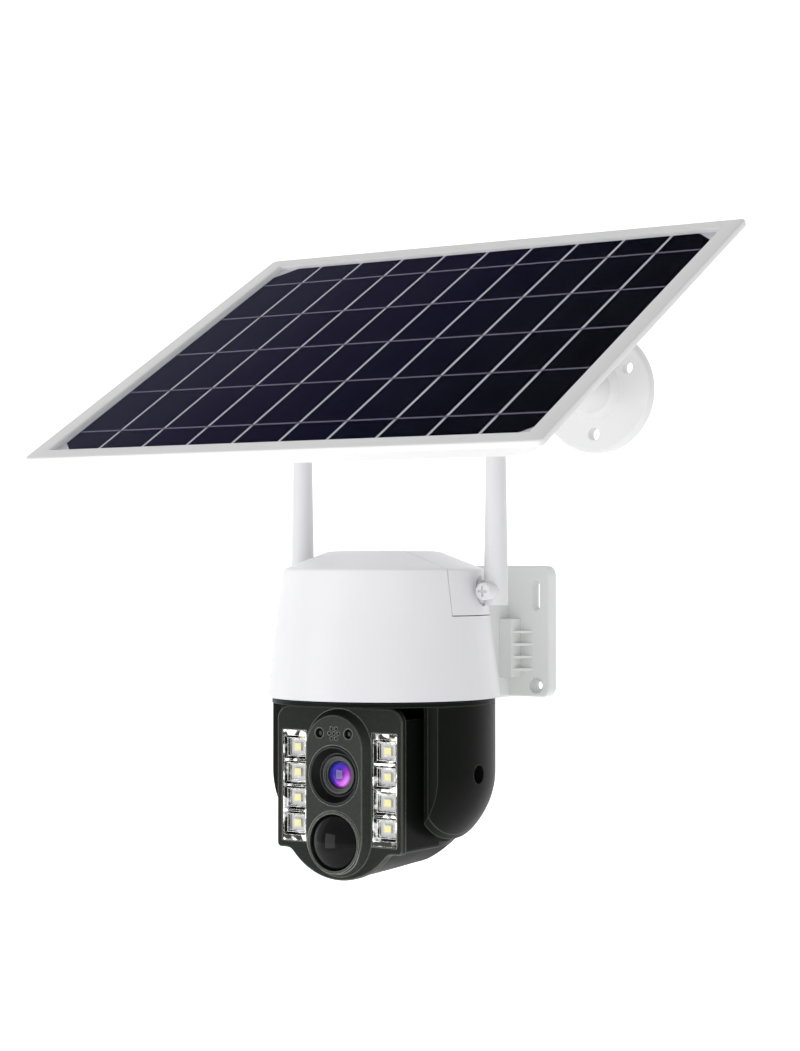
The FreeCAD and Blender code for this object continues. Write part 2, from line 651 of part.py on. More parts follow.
def head_profile(inset):
    """Side form of the head's rear shell as a prism along X."""
    back = head_back_r - inset
    low = keel_r - inset
    top = head_top - inset
    top_u = sqrt(back * back - top * top)
    low_w = -sqrt(low * low - back * back)
    far_x = face_w

    def at(u, w):
        return head_point(-far_x / 2, u, w)

    a1 = atan2(top, top_u) / 2
    a2 = (atan2(low_w, back) - pi / 2) / 2
    edges = [Part.makeLine(at(face_back, top), at(top_u, top)),
             Part.Arc(at(top_u, top), at(back * cos(a1), back * sin(a1)), at(back, 0)).toShape(),
             Part.makeLine(at(back, 0), at(back, low_w)),
             Part.Arc(at(back, low_w), at(low * cos(a2), low * sin(a2)), at(0, -low)).toShape(),
             Part.makeLine(at(0, -low), at(face_back, keel_front_z + inset)),
             Part.makeLine(at(face_back, keel_front_z + inset), at(face_back, top))]
    return Part.Face(Part.Wire(edges)).extrude(X * far_x)


def head_form(inset):
    back = head_back_r + 1
    form = face_prism(inset, face_back, back).common(head_profile(inset))
    ball_form = Part.makeSphere(head_ball_r - inset, V(0, pan_y, tilt_z))
    front_half = box(-far, far, -far, pan_y - 5, -far, far)
    return form.common(ball_form.fuse(front_half))


def head_screw_places():
    """Two at the upper corners and two beside the chin, clear of the lamps."""
    upper = (face_w / 2 - 7.5, head_top - head_wall - 2.4)
    lower = (pill_base_w / 2 + 2.4, face_low + 0.5)
    return [(side * x, w) for side in (-1, 1) for x, w in (upper, lower)]


def head_shell():
    outer = head_form(head_inset)
    inner = head_form(head_inset + head_wall)
    mouth = face_prism(head_inset + head_wall, face_back - 1, face_back + 1)
    shell = cut(outer, inner, mouth.common(box(-far, far, -far, far, -far, tilt_z + head_top - 2.5)))
    ears = []
    for x, w in head_screw_places():
        ears.append(block(head_point(x, face_back + ear_t / 2, w), ear_w, ear_t, ear_h).common(outer))
    shell = join(shell, *ears)
    half = face_w / 2 - head_inset
    tools = [rod(head_point(half - 5, 0, 0), X, motor_shaft_r + 0.6, 10),
             rod(head_point(-half + 5, 0, 0), X * -1, pivot_r, 10)]
    tools += [rod(head_point(x, face_back - 1, w), Y, m2_r + seat_gap, 8) for x, w in head_screw_places()]
    return cut(shell, *tools)


def head_screws():
    return [screw(head_point(x, face_back + ear_t, w), Y * -1, m2_r, m2_head_r, m2_head_t, ear_t + 1.5)
            for x, w in head_screw_places()]


def stadium(width, top, low, y):
    """Upright slot shape with round ends, as a wire at depth y."""
    r = width / 2
    t, b = tilt_z + top - r, tilt_z + low + r
    left, right = Part.makeLine(V(-r, y, b), V(-r, y, t)), Part.makeLine(V(r, y, t), V(r, y, b))
    over = Part.Arc(V(-r, y, t), V(0, y, t + r), V(r, y, t)).toShape()
    under = Part.Arc(V(r, y, b), V(0, y, b - r), V(-r, y, b)).toShape()
    return Part.Wire([left, over, right, under])


def pill_prism(grow, front, back):
    flare = (pill_base_w - pill_w) / 2
    wire = stadium(pill_base_w + 2 * grow, pill_top + flare + grow, pill_low - flare - grow, pan_y + front)
    return Part.Face(wire).extrude(Y * (back - front))


def led_zones(grow, front, back):
    half_w, half_h = led_w / 2 + grow, led_h / 2 + grow
    return [box(s * led_x - half_w, s * led_x + half_w, pan_y + front, pan_y + back,
                tilt_z + led_z - half_h, tilt_z + led_z + half_h) for s in (-1, 1)]


def faceplate():
    plate = face_prism(0, face_front, face_back)
    plate = soften(plate, 0.7, lambda c, e: abs(c.y - pan_y - face_front) < 0.01)
    holes = [rod(head_point(x, face_back - 2, w), Y, m2_r, 4) for x, w in head_screw_places()]
    return cut(plate, pill_prism(seat_gap, face_front - 1, face_back + 1),
               *led_zones(0, face_front - 1, face_back + 1), *holes)


def mic_places():
    """Seven holes: one in the middle and six round it."""
    ring = [(mic_pitch * cos(radians(a)), mic_pitch * sin(radians(a))) for a in range(0, 360, 60)]
    return [(0.0, 0.0)] + ring


def pill_cover():
    flare = (pill_base_w - pill_w) / 2
    foot = pill_prism(0, face_front, face_back)
    slope = Part.makeLoft([stadium(pill_base_w, pill_top + flare, pill_low - flare, pan_y + face_front),
                           stadium(pill_w, pill_top, pill_low, pan_y + pill_front)], True, True)
    body = join(foot, slope)
    body = soften(body, 0.5, lambda c, e: abs(c.y - pan_y - pill_front) < 0.01)
    hollow = pill_prism(-pill_wall - flare + 0.6, pill_front + pill_wall, face_back + 1)
    tools = [hollow, rod(head_point(0, pill_front - 1, 0), Y, lens_bezel_r, 20),
             rod(head_point(0, pill_front - 1, pir_z), Y, pir_ring_r, 20)]
    tools += [rod(head_point(s * sensor_x, pill_front - 1, sensor_z), Y, sensor_r, 20) for s in (-1, 1)]
    tools += [rod(head_point(x, pill_front - 1, sensor_z + w), Y, mic_hole_r, 20) for x, w in mic_places()]
    return cut(body, *tools)


def lens_bezel():
    outer = lens_bezel_r - seat_gap
    throat = lens_barrel_r + seat_gap
    front = pill_front - 0.2
    ring = rod(head_point(0, front, 0), Y, outer, 7.2)
    funnel = cone(head_point(0, front - 0.01, 0), Y, outer - 1.1, throat, 4.6)
    return cut(ring, funnel, rod(head_point(0, front, 0), Y, throat, 20))


lens_front = face_front - 0.4


def lens_barrel():
    barrel = rod(head_point(0, lens_front, 0), Y, lens_barrel_r, lens_len)
    mouth = cone(head_point(0, lens_front - 0.01, 0), Y, lens_r + lens_mouth_t, lens_r, lens_mouth_t)
    bore = rod(head_point(0, lens_front, 0), Y, lens_r, lens_len + 1)
    return cut(barrel, mouth, bore)


def dome_radius(rim, height):
    return (rim * rim + height * height) / (2 * height)


def lens_glass():
    """Front element: a flat-backed lens with a domed face."""
    r = lens_r - shaft_gap
    ball_radius = dome_radius(r, lens_bulge)
    rim = lens_front + lens_mouth_t
    disc = rod(head_point(0, rim, 0), Y, r, lens_edge_t)
    cap = Part.makeSphere(ball_radius, head_point(0, rim - lens_bulge + ball_radius, 0))
    return join(disc, cap.common(rod(head_point(0, lens_front, 0), Y, r, lens_mouth_t + lens_edge_t)))


def sensor_board():
    back = lens_front + lens_len
    plate = block(head_point(0, back + 0.8, 0), 30.0, 1.6, 30.0)
    chip = block(head_point(0, back - 0.9, 0), 7.0, 1.8, 6.0)
    link = block(head_point(0, back + 2.6, -8.0), 12.0, 2.0, 4.0)
    return group([plate, chip, link])


def pir_bezel():
    outer = pir_ring_r - seat_gap
    ring = tube(head_point(0, pill_front - pir_ring_proud, pir_z), Y, outer, pir_r + seat_gap, 3.4)
    return soften(ring, 0.3, lambda c, e: abs(c.y - pan_y - pill_front + pir_ring_proud) < 0.01)


def pir_lens():
    """Domed infrared lens, hollow behind."""
    h = pir_dome_h
    radius = dome_radius(pir_r, h)
    seat = pill_front + 1.0
    centre = head_point(0, seat - h + radius, pir_z)
    dome = Part.makeSphere(radius, centre).common(rod(head_point(0, seat - h - 1, pir_z), Y, pir_r, h + 1))
    skirt = rod(head_point(0, seat, pir_z), Y, pir_r, 2.0)
    inner_r = pir_r - pir_wall
    hollow = Part.makeSphere(radius - pir_wall, centre)
    hollow = hollow.common(rod(head_point(0, seat - h, pir_z), Y, inner_r, h))
    return cut(join(dome, skirt), hollow, rod(head_point(0, seat, pir_z), Y, inner_r, 4))


def pir_sensor():
    can = rod(head_point(0, face_front + 1.5, pir_z), Y, 4.1, 4.2)
    board = block(head_point(0, face_front + 6.4, pir_z + 3.0), 26.0, 1.4, 14.0)
    return group([can, board])


def light_sensors():
    solids = []
    for side in (-1, 1):
        front = head_point(side * sensor_x, pill_front + 0.8, sensor_z)
        solids.append(rod(front, Y, sensor_r - seat_gap, 4.5))
    return solids


def microphone():
    return rod(head_point(0, pill_front + pill_wall + 0.4, sensor_z), Y, 3.4, 2.4)


def led_places():
    rows = [led_z + (k - (led_count - 1) / 2) * led_pitch for k in range(led_count)]
    return [(side * led_x, w) for side in (-1, 1) for w in rows]


def square(x, w, width, height, u):
    corners = [head_point(x + sx * width / 2, u, w + sz * height / 2)
               for sx, sz in ((-1, -1), (1, -1), (1, 1), (-1, 1))]
    return Part.makePolygon(corners + corners[:1])


def led_reflectors():
    front = face_front + reflector_sunk
    plates = led_zones(-seat_gap - 0.05, front, front + reflector_t)
    tools = []
    for x, w in led_places():
        mouth = square(x, w, cup_w, cup_h, front)
        floor = square(x, w, cup_floor_w, cup_floor_h, front + cup_depth)
        tools.append(Part.makeLoft([mouth, floor], True, True))
        tools.append(block(head_point(x, front + reflector_t, w), cup_floor_w, 2.0, cup_floor_h))
    return [plate.cut(tools) for plate in plates]


def led_boards():
    return led_zones(-0.4, led_board_front, led_board_front + 1.2)


def led_chips():
    middle = led_board_front - chip_t / 2
    return [block(head_point(x, middle, w), chip_w, chip_t, chip_h) for x, w in led_places()]


def tilt_motor():
    end = face_w / 2 - head_inset - head_wall - 0.6
    can = rod(head_point(end - tilt_motor_len, tilt_motor_shift, 0), X, tilt_motor_r, tilt_motor_len)
    nose = rod(head_point(end - tilt_motor_len, 0, 0), X, 5.0, tilt_motor_len + 0.5)
    body = join(can, nose)
    return body.cut(rod(head_point(end - tilt_motor_len + 1.0, 0, 0), X, motor_shaft_r + shaft_gap, 40))


def pivot_pin():
    inner_x = face_w / 2 - head_inset - head_wall - 3.0
    tip = slot_half + cheek_t + 2.6
    pin = rod(head_point(-inner_x, 0, 0), X * -1, pivot_r, tip - inner_x)
    flange = rod(head_point(-inner_x, 0, 0), X * -1, 5.0, 3.0 - seat_gap)
    return join(pin, flange)


# ---- antennas

def antenna_pivot(side):
    return V(side * antenna_x, antenna_y, antenna_z)


def antenna_base(side):
    """Swivelling knuckle: a spigot in the housing, a collar and a flat tongue."""
    out = X * side
    start = V(side * (pad_x + slip), antenna_y, antenna_z)
    collar = rod(start, out, collar_r, collar_t)
    spigot = rod(start + out * 0.5, out * -1, spigot_r, spigot_len + 0.5)
    pivot = antenna_pivot(side)
    eye = rod(pivot - Y * (tongue_t / 2), Y, tongue_r, tongue_t)
    x0, x1 = sorted((side * (pad_x + slip + collar_t - 0.5), side * antenna_x))
    strap = box(x0, x1, antenna_y - tongue_t / 2, antenna_y + tongue_t / 2,
                antenna_z - tongue_h / 2, antenna_z + tongue_h / 2)
    body = join(collar, spigot, strap, eye)
    return body.cut(rod(pivot - Y * tongue_t, Y, fold_pin_r + shaft_gap, 2 * tongue_t))


def antenna_rod(side):
    """Tapered whip whose forked heel folds on the tongue."""
    pivot = antenna_pivot(side)
    heel = pivot - Z * antenna_heel
    straight = 16.0
    barrel = rod(heel, Z, antenna_r, straight)
    whip_len = antenna_len - straight + antenna_heel
    whip = cone(heel + Z * straight, Z, antenna_r, antenna_tip_r, whip_len)
    body = join(barrel, whip)
    tip_z = heel.z + straight + whip_len
    body = soften(body, antenna_tip_r * 0.7, lambda c, e: abs(c.z - tip_z) < 0.01 and len(e.Vertexes) == 1)
    body = soften(body, 0.4, lambda c, e: abs(c.z - heel.z) < 0.01 and len(e.Vertexes) == 1)
    half = tongue_t / 2 + slip / 2
    reach = tongue_h / 2 + slip
    x0, x1 = sorted((-side * 20, side * reach))
    gap = box(pivot.x + x0, pivot.x + x1, antenna_y - half, antenna_y + half, heel.z - 1, antenna_z + reach)
    eye = rod(pivot - Y * half, Y, tongue_r + slip, 2 * half)
    sweep_r = antenna_x - pad_x - slip - collar_t - slip
    x0, x1 = sorted((-side * 20, 0.0))
    heel_corner = box(pivot.x + x0, pivot.x + x1, antenna_y - 10, antenna_y + 10, heel.z - 1, antenna_z)
    body = cut(body, gap, eye, heel_corner.cut(rod(pivot - Y * 10, Y, sweep_r, 20)))
    pin = rod(pivot - Y * (antenna_r - 0.4), Y, fold_pin_r, 2 * (antenna_r - 0.4))
    return join(body, pin, hinge_cap(pivot, half))


def hinge_cap(pivot, root):
    """Round cap on the front end of the hinge pin, with a cross slot."""
    front = pivot - Y * (antenna_r + hinge_cap_len)
    cap = rod(pivot - Y * root, Y * -1, hinge_cap_r, antenna_r + hinge_cap_len - root)
    cap = soften(cap, 1.0, lambda c, e: abs(c.y - front.y) < 0.01)
    for width, height in ((cap_slot_w, 1.2 * hinge_cap_r), (1.2 * hinge_cap_r, cap_slot_w)):
        cap = cap.cut(block(front, width, 2 * cap_slot_depth, height))
    return cap


# ---- solar panel mount

def panel_wall_base():
    centre = V(mount_x, 0, mount_z)
    out = Y * -1
    disc = rod(centre, out, disc_r, disc_t)
    disc = soften(disc, 2.0, lambda c, e: abs(c.y + disc_t) < 0.01)
    stem_len = mount_reach - fork_root - hub_len - slip - disc_t
    stem = cone(centre + out * disc_t, out, stem_r, stem_end_r, stem_len)
    flare = cone(centre + out * disc_t, out, stem_r + 3.0, stem_r - 0.1, 4.0)
    spigot = rod(centre + out * (disc_t + stem_len), out, spigot_end_r, spigot_end_len)
    body = join(disc, flare, stem, spigot)
    for k in range(disc_holes):
        angle = radians(270 + 360 * k / disc_holes)
        at = centre + V(cos(angle), 0, sin(angle)) * (disc_pcd / 2)
        body = body.cut(rod(at + Y, out, disc_hole_r, disc_t + 2))
    return body


def clamp_head():
    """Forked head: its two cheeks hold the ball, the slot between them lets the stud tilt."""
    cheeks = rod(ball - X * head_half_w, X, head_r, 2 * head_half_w)
    neck_half = head_half_w - 2.0
    hub_end = -mount_reach + fork_root + hub_len
    neck = box(mount_x - neck_half, mount_x + neck_half, ball.y, ball.y + fork_root + 2,
               ball.z - 9.5, ball.z + 9.5)
    hub = rod(V(mount_x, ball.y + fork_root - 1, mount_z), Y, 10.0, hub_end - ball.y - fork_root + 1)
    body = join(cheeks, neck, hub)
    slot = box(mount_x - head_slot / 2, mount_x + head_slot / 2, ball.y - 20, ball.y + fork_root,
               ball.z - 20, ball.z + 20)
    screw_at = ball + V(-20, clamp_screw_back, 0)
    return cut(body, slot, Part.makeSphere(ball_r + shaft_gap, ball),
               rod(V(mount_x, hub_end + 1, mount_z), Y * -1, spigot_end_r + shaft_gap, spigot_end_len + 1.4),
               rod(screw_at, X, clamp_screw_r + shaft_gap, 60))


def clamp_knob():
    """Lobed knob with its clamping screw."""
    seat = ball + V(head_half_w + slip, clamp_screw_back, 0)
    knob = rod(seat, X, knob_r - 2.0, knob_t)
    lobes = []
    for k in range(lobe_count):
        angle = 2 * pi * k / lobe_count
        lobes.append(rod(seat + V(0, cos(angle), sin(angle)) * (knob_r - lobe_r), X, lobe_r, knob_t))
    shank = rod(seat + X, X * -1, clamp_screw_r, 2 * head_half_w + 1 + slip + 0.5)
    return join(knob, shank, *lobes)


# ---- solar panel; its own places are from the middle of the top face: x, y up the slope, z out

def panel_axes():
    t = radians(panel_tilt)
    return V(0, cos(t), sin(t)), V(0, -sin(t), cos(t))


def place_panel(shape):
    up, normal = panel_axes()
    moved = shape.copy()
    moved.Placement = FreeCAD.Placement(ball - up * ball_up + normal * ball_below,
                                        FreeCAD.Rotation(X, panel_tilt)).multiply(moved.Placement)
    return moved


def rounded_wire(w, h, corner, z):
    """Rectangle with round corners as a wire at height z."""
    points, arcs = [], []
    for sx, sy, a in ((1, 1, 0), (-1, 1, 90), (-1, -1, 180), (1, -1, 270)):
        centre = V(sx * (w / 2 - corner), sy * (h / 2 - corner), z)
        ends = [centre + V(cos(radians(a + d)), sin(radians(a + d)), 0) * corner for d in (0, 45, 90)]
        arcs.append(Part.Arc(*ends).toShape())
        points.append((ends[0], ends[2]))
    edges = []
    for k in range(4):
        edges += [arcs[k], Part.makeLine(points[k][1], points[(k + 1) % 4][0])]
    return Part.Wire(edges)


def slab(w, h, corner, low, high):
    return Part.Face(rounded_wire(w, h, corner, low)).extrude(Z * (high - low))


def laminate(low, high, trim=0.0):
    w = panel_w - 2 * border_x + 2 * laminate_lap - 2 * trim
    h = panel_h - 2 * border_y + 2 * laminate_lap - 2 * trim
    return box(-w / 2, w / 2, -h / 2, h / 2, low, high)


def panel_frame():
    rim = slab(panel_w, panel_h, panel_corner, -lip_t, 0)
    rim = soften(rim, 0.8, lambda c, e: abs(c.z) < 0.01)
    opening = box(-panel_w / 2 + border_x, panel_w / 2 - border_x, -panel_h / 2 + border_y,
                  panel_h / 2 - border_y, -lip_t - 1, 1)
    return cut(rim, opening, laminate(-lip_t - 1, -glass_sunk, -seat_gap))


glass_low = -glass_sunk - glass_t
ribbon_low = glass_low - ribbon_t
cell_low = ribbon_low - cell_t
sheet_low = cell_low - sheet_t


def solar_cells():
    """Ten upright strips; the four outer corners are cut off."""
    half_w = column_count * column_pitch / 2
    half_h = column_h / 2
    c = cell_chamfer
    corners = [V(sx * (half_w - a), sy * (half_h - b), cell_low) for sx, sy, a, b in (
        (1, 1, 0, c), (1, 1, c, 0), (-1, 1, c, 0), (-1, 1, 0, c),
        (-1, -1, 0, c), (-1, -1, c, 0), (1, -1, c, 0), (1, -1, 0, c))]
    area = Part.Face(Part.makePolygon(corners + corners[:1])).extrude(Z * cell_t)
    solids = []
    for k in range(column_count):
        x = (k - (column_count - 1) / 2) * column_pitch
        half = (column_pitch - column_gap) / 2
        strip = box(x - half, x + half, -half_h, half_h, cell_low, cell_low + cell_t)
        solids.append(strip.common(area))
    return solids


def cell_ribbons():
    pitch = column_h / ribbon_count
    half = (column_count * column_pitch - column_gap) / 2
    solids = []
    for k in range(ribbon_count):
        y = (k - (ribbon_count - 1) / 2) * pitch
        solids.append(box(-half, half, y - ribbon_w / 2, y + ribbon_w / 2, ribbon_low, ribbon_low + ribbon_t))
    return solids


def back_form(grow, low):
    """Tapered tray form of the panel's back."""
    top_w, top_h = panel_w - 2 * back_inset, panel_h - 2 * back_inset
    low_w, low_h = panel_w - 2 * back_low_inset, panel_h - 2 * back_low_inset
    return Part.makeLoft([rounded_wire(top_w + 2 * grow, top_h + 2 * grow, 6 + grow, -lip_t),
                          rounded_wire(low_w + 2 * grow, low_h + 2 * grow, 6 + grow, low)], True, True)


def panel_back():
    body = back_form(0, -back_depth).cut(back_form(-back_wall, -back_depth + back_wall))
    half_w, half_h = panel_w / 2 - rib_end, panel_h / 2 - rib_end
    low, high = -back_depth + 1, -lip_t - 1.5
    ribs = [box(x - rib_half, x + rib_half, -half_h, half_h, low, high) for x in rib_xs]
    ribs += [box(-half_w, half_w, y - rib_half, y + rib_half, low, high) for y in (0.0, ball_up)]
    boss = rod(V(0, ball_up, -back_depth - boss_h), Z, boss_r, boss_h + 6)
    skirt = cone(V(0, ball_up, -back_depth - 2.5), Z, boss_r, boss_r + 3.5, 3.0)
    body = join(body, *ribs, boss, skirt)
    return body.cut(rod(V(0, ball_up, -back_depth - boss_h - 1), Z, stud_r, boss_h + 6))


def ball_stud():
    """Ball with a threaded stud up into the panel's boss and a jam nut."""
    up, normal = panel_axes()
    neck_to = ball_below - back_depth - boss_h - slip
    sphere = Part.makeSphere(ball_r, ball)
    stud = rod(ball, normal, stud_r - shaft_gap, neck_to + slip + boss_h + 3.0)
    flange = rod(ball + normal * (neck_to - 2.4), normal, 6.0, 2.4)
    return join(sphere, stud, flange)


def junction_box():
    top = -back_depth
    lid = slab(box_w, box_h, 4.0, top - box_t, top)
    lid = soften(lid, 1.5, lambda c, e: abs(c.z - top + box_t) < 0.01)
    lid.translate(V(0, box_y, 0))
    return lid


def cable_gland():
    start = V(0, box_y - box_h / 2, -back_depth - box_t / 2)
    nut = rod(start, Y * -1, gland_r - 1.2, gland_len * 0.55)
    cap = rod(start - Y * (gland_len * 0.55), Y * -1, gland_r - 1.8, gland_len * 0.45)
    return join(nut, cap).cut(rod(start - Y * 2, Y * -1, 1.8, gland_len))


def junction_screws():
    half_w, half_h = box_w / 2 - box_screw_inset, box_h / 2 - box_screw_inset
    places = [V(sx * half_w, box_y + sy * half_h, -back_depth - box_t) for sx in (-1, 1) for sy in (-1, 1)]
    return [rod(at, Z * -1, m3_head_r, m3_head_t) for at in places]


def build():
    shell, inner = housing_shell()
    nodes = {
        "wall_bracket": bracket(inner),
        "arm_screws": group(arm_screws()),
        "housing_front_shell": front_shell(shell, inner),
        "housing_rear_cover": rear_cover(shell, inner),
        "housing_screws": group(cover_screws() + base_screws()),
        "base_plate": base_plate(),
        "rim_gasket": rim_gasket(),
        "pan_bush": pan_bush(),
        "pan_motor": pan_motor(),
        "pan_pinion": pan_pinion(),
        "board_standoffs": group(board_standoffs()),
        "main_board": main_board(),
        "battery_holder": battery_holder(),
        "battery_cells": group(battery_cells()),
        "speaker": speaker(),
        "charging_socket": charging_socket(),
        "power_button": button(power_angle),
        "reset_button": button(reset_angle),
        "button_board": group(button_board()),
        "yoke_frame": yoke_frame(),
        "yoke_cover_left": yoke_cover().mirror(V(0, 0, 0), X),
        "yoke_cover_right": yoke_cover(),
        "yoke_screws": group(yoke_screws()),
        "pan_gear": pan_gear(),
        "neck_retaining_ring": neck_ring(),
        "tilt_shaft": tilt_shaft(),
        "head_rear_shell": head_shell(),
        "faceplate": faceplate(),
        "head_screws": group(head_screws()),
        "sensor_cover": pill_cover(),
        "lens_bezel": lens_bezel(),
        "lens_barrel": lens_barrel(),
        "lens_glass": lens_glass(),
        "image_sensor_board": sensor_board(),
        "pir_bezel": pir_bezel(),
        "pir_lens": pir_lens(),
        "pir_sensor": pir_sensor(),
        "light_sensors": group(light_sensors()),
        "microphone": microphone(),
        "led_reflectors": group(led_reflectors()),
        "led_boards": group(led_boards()),
        "led_chips": group(led_chips()),
        "tilt_motor": tilt_motor(),
        "tilt_pivot_pin": pivot_pin(),
        "panel_wall_base": panel_wall_base(),
        "clamp_head": clamp_head(),
        "clamp_knob": clamp_knob(),
        "ball_stud": ball_stud(),
        "panel_frame": place_panel(panel_frame()),
        "panel_glass": place_panel(laminate(glass_low, -glass_sunk)),
        "cell_ribbons": place_panel(group(cell_ribbons())),
        "solar_cells": place_panel(group(solar_cells())),
        "panel_backsheet": place_panel(laminate(sheet_low, cell_low)),
        "panel_back_shell": place_panel(panel_back()),
        "junction_box": place_panel(group([junction_box()] + junction_screws())),
        "cable_gland": place_panel(cable_gland()),
    }
    for name, side in (("left", -1), ("right", 1)):
        nodes["antenna_" + name + "_base"] = antenna_base(side)
        nodes["antenna_" + name + "_rod"] = antenna_rod(side)
    return nodes


os.makedirs("parts", exist_ok=True)
for node, shape in build().items():
    shape.exportStep("parts/" + node + ".step")
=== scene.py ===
import bmesh
import bpy
import json
from math import atan, cos, pi, radians, sin
from mathutils import Matrix, Vector


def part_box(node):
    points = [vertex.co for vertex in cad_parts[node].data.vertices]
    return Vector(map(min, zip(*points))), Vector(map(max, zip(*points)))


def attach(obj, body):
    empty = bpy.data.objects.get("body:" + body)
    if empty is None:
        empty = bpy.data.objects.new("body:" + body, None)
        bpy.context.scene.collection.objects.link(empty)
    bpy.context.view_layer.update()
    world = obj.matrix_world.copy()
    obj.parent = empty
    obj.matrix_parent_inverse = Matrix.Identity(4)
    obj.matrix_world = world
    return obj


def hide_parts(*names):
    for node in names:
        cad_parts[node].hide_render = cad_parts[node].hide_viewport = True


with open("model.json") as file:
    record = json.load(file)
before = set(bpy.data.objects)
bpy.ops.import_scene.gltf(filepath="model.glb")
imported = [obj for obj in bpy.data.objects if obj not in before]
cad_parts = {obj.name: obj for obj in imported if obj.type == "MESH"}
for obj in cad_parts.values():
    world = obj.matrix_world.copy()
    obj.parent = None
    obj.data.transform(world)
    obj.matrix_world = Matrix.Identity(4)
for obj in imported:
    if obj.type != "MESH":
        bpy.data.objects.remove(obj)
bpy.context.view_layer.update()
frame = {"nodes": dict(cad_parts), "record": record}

# Looks of a solar-powered pan and tilt camera. Metres, +Z up, wall at Y = 0, object towards -Y.

NODES = frame["nodes"]
JOINTS = {joint["name"]: joint for joint in frame["record"]["behaviour"]["joints"]}
MM = 0.001


# ---- shader helpers

class Signal:
    """A shader output that can be used in ordinary sums."""

    def __init__(self, tree, socket):
        self.tree, self.socket = tree, socket

    def sum_node(self, operation, first, second):
        node = self.tree.nodes.new("ShaderNodeMath")
        node.operation = operation
        for slot, value in zip(node.inputs, (first, second)):
            if isinstance(value, Signal):
                self.tree.links.new(value.socket, slot)
            else:
                slot.default_value = value
        return Signal(self.tree, node.outputs[0])

    def __add__(self, other):
        return self.sum_node("ADD", self, other)

    def __sub__(self, other):
        return self.sum_node("SUBTRACT", self, other)

    def __rsub__(self, other):
        return self.sum_node("SUBTRACT", other, self)

    def __mul__(self, other):
        return self.sum_node("MULTIPLY", self, other)

    def __truediv__(self, other):
        return self.sum_node("DIVIDE", self, other)

    def __lt__(self, other):
        return self.sum_node("LESS_THAN", self, other)

    __radd__, __rmul__ = __add__, __mul__

    def fold(self, operation):
        return self.sum_node(operation, self, 0.0)

    def held(self):
        """The value kept between 0 and 1."""
        return self.sum_node("MINIMUM", self.sum_node("MAXIMUM", self, 0.0), 1.0)


class Finish:
    """One material: a Principled shader and the nodes that feed it."""

    def __init__(self, name, **fixed):
        self.material = bpy.data.materials.new(name)
        self.material.use_nodes = True
        self.tree = self.material.node_tree
        self.shader = self.tree.nodes["Principled BSDF"]
        for socket, value in fixed.items():
            self.shader.inputs[socket.replace("_", " ")].default_value = value
        self.place = self.node("TexCoord", {}, "Object")

    def node(self, kind, settings, output, **feeds):
        """Add a node, set it up, feed its sockets and return one output."""
        made = self.tree.nodes.new("ShaderNode" + kind)
        for key, value in settings.items():
            if key == "stops":
                self.set_stops(made.color_ramp, value)
            else:
                setattr(made, key, value)
        for name, value in feeds.items():
            self.feed(self.socket_of(made, name), value)
        return Signal(self.tree, made.outputs[output])

    @staticmethod
    def set_stops(ramp, stops):
        while len(ramp.elements) < len(stops):
            ramp.elements.new(0.5)
        for element, (position, colour) in zip(ramp.elements, stops):
            element.position = position
            element.color = (*colour, 1.0)

    @staticmethod
    def socket_of(made, name):
        """Socket by name, or by number when the name is like in_6."""
        if name.startswith("in_"):
            return made.inputs[int(name[3:])]
        return made.inputs[name.replace("_", " ")]

    def feed(self, socket, value):
        if isinstance(value, Signal):
            self.tree.links.new(value.socket, socket)
        else:
            socket.default_value = value

    def set(self, name, value):
        self.feed(self.shader.inputs[name], value)

    # patterns
    def noise(self, scale, detail=2.0, rough=0.5):
        return self.node("TexNoise", {}, "Fac", Vector=self.place, Scale=scale, Detail=detail,
                         Roughness=rough)

    def ramp(self, signal, stops):
        return self.node("ValToRGB", {"stops": stops}, "Color", Fac=signal)

    def mix(self, amount, first, second):
        """Colour mix; first where amount is 0."""
        first = (*first, 1.0) if isinstance(first, tuple) else first
        second = (*second, 1.0) if isinstance(second, tuple) else second
        return self.node("Mix", {"data_type": "RGBA"}, 2, in_0=amount, in_6=first, in_7=second)

    def along(self, direction):
        """Distance along a direction, from the part's origin."""
        return self.node("VectorMath", {"operation": "DOT_PRODUCT"}, "Value", in_0=self.place, in_1=direction)

    def offset(self, centre):
        return self.node("VectorMath", {"operation": "SUBTRACT"}, "Vector", in_0=self.place, in_1=centre)

    def length(self, vector):
        return self.node("VectorMath", {"operation": "LENGTH"}, "Value", in_0=vector)

    def rounded(self, radius):
        """Normal that rounds sharp edges off."""
        return self.node("Bevel", {"samples": 4}, "Normal", Radius=radius)

    def edges(self, radius):
        """1 on sharp edges, 0 on flats."""
        soft = self.rounded(radius)
        true = self.node("NewGeometry", {}, "Normal")
        agree = self.node("VectorMath", {"operation": "DOT_PRODUCT"}, "Value", in_0=soft, in_1=true)
        return ((1.0 - agree) * 12.0).held()

    def bump(self, height, distance, strength=1.0, normal=None):
        feeds = {"Height": height, "Distance": distance, "Strength": strength}
        if normal:
            feeds["Normal"] = normal
        self.set("Normal", self.node("Bump", {}, "Normal", **feeds))


# ---- finishes

def moulded(name, colour, rough, grain=0.5, edge=None, edge_size=0.35 * MM, coat=0.0, gloss=0.5):
    """Injection-moulded plastic with a fine spark texture, soft edges and faint flow marks; an edge colour,
    when given, is a painted highlight along sharp edges.
    """
    made = Finish(name, Coat_Weight=coat, Coat_Roughness=0.2, Specular_IOR_Level=gloss)
    flow = made.noise(22.0, 3.0)
    dark = tuple(c * 0.93 for c in colour)
    tone = made.mix(flow, dark, colour)
    # painted highlight: when an edge colour is given, sharp edges are lightened towards it
    if edge:
        tone = made.mix(made.edges(edge_size) * 0.8, tone, edge)
    made.set("Base Color", tone)
    made.set("Roughness", made.noise(160.0, 2.0) * 0.1 + (rough - 0.05))
    made.bump(made.noise(3200.0, 2.0), 0.02 * MM, grain, made.rounded(edge_size))
    return made.material


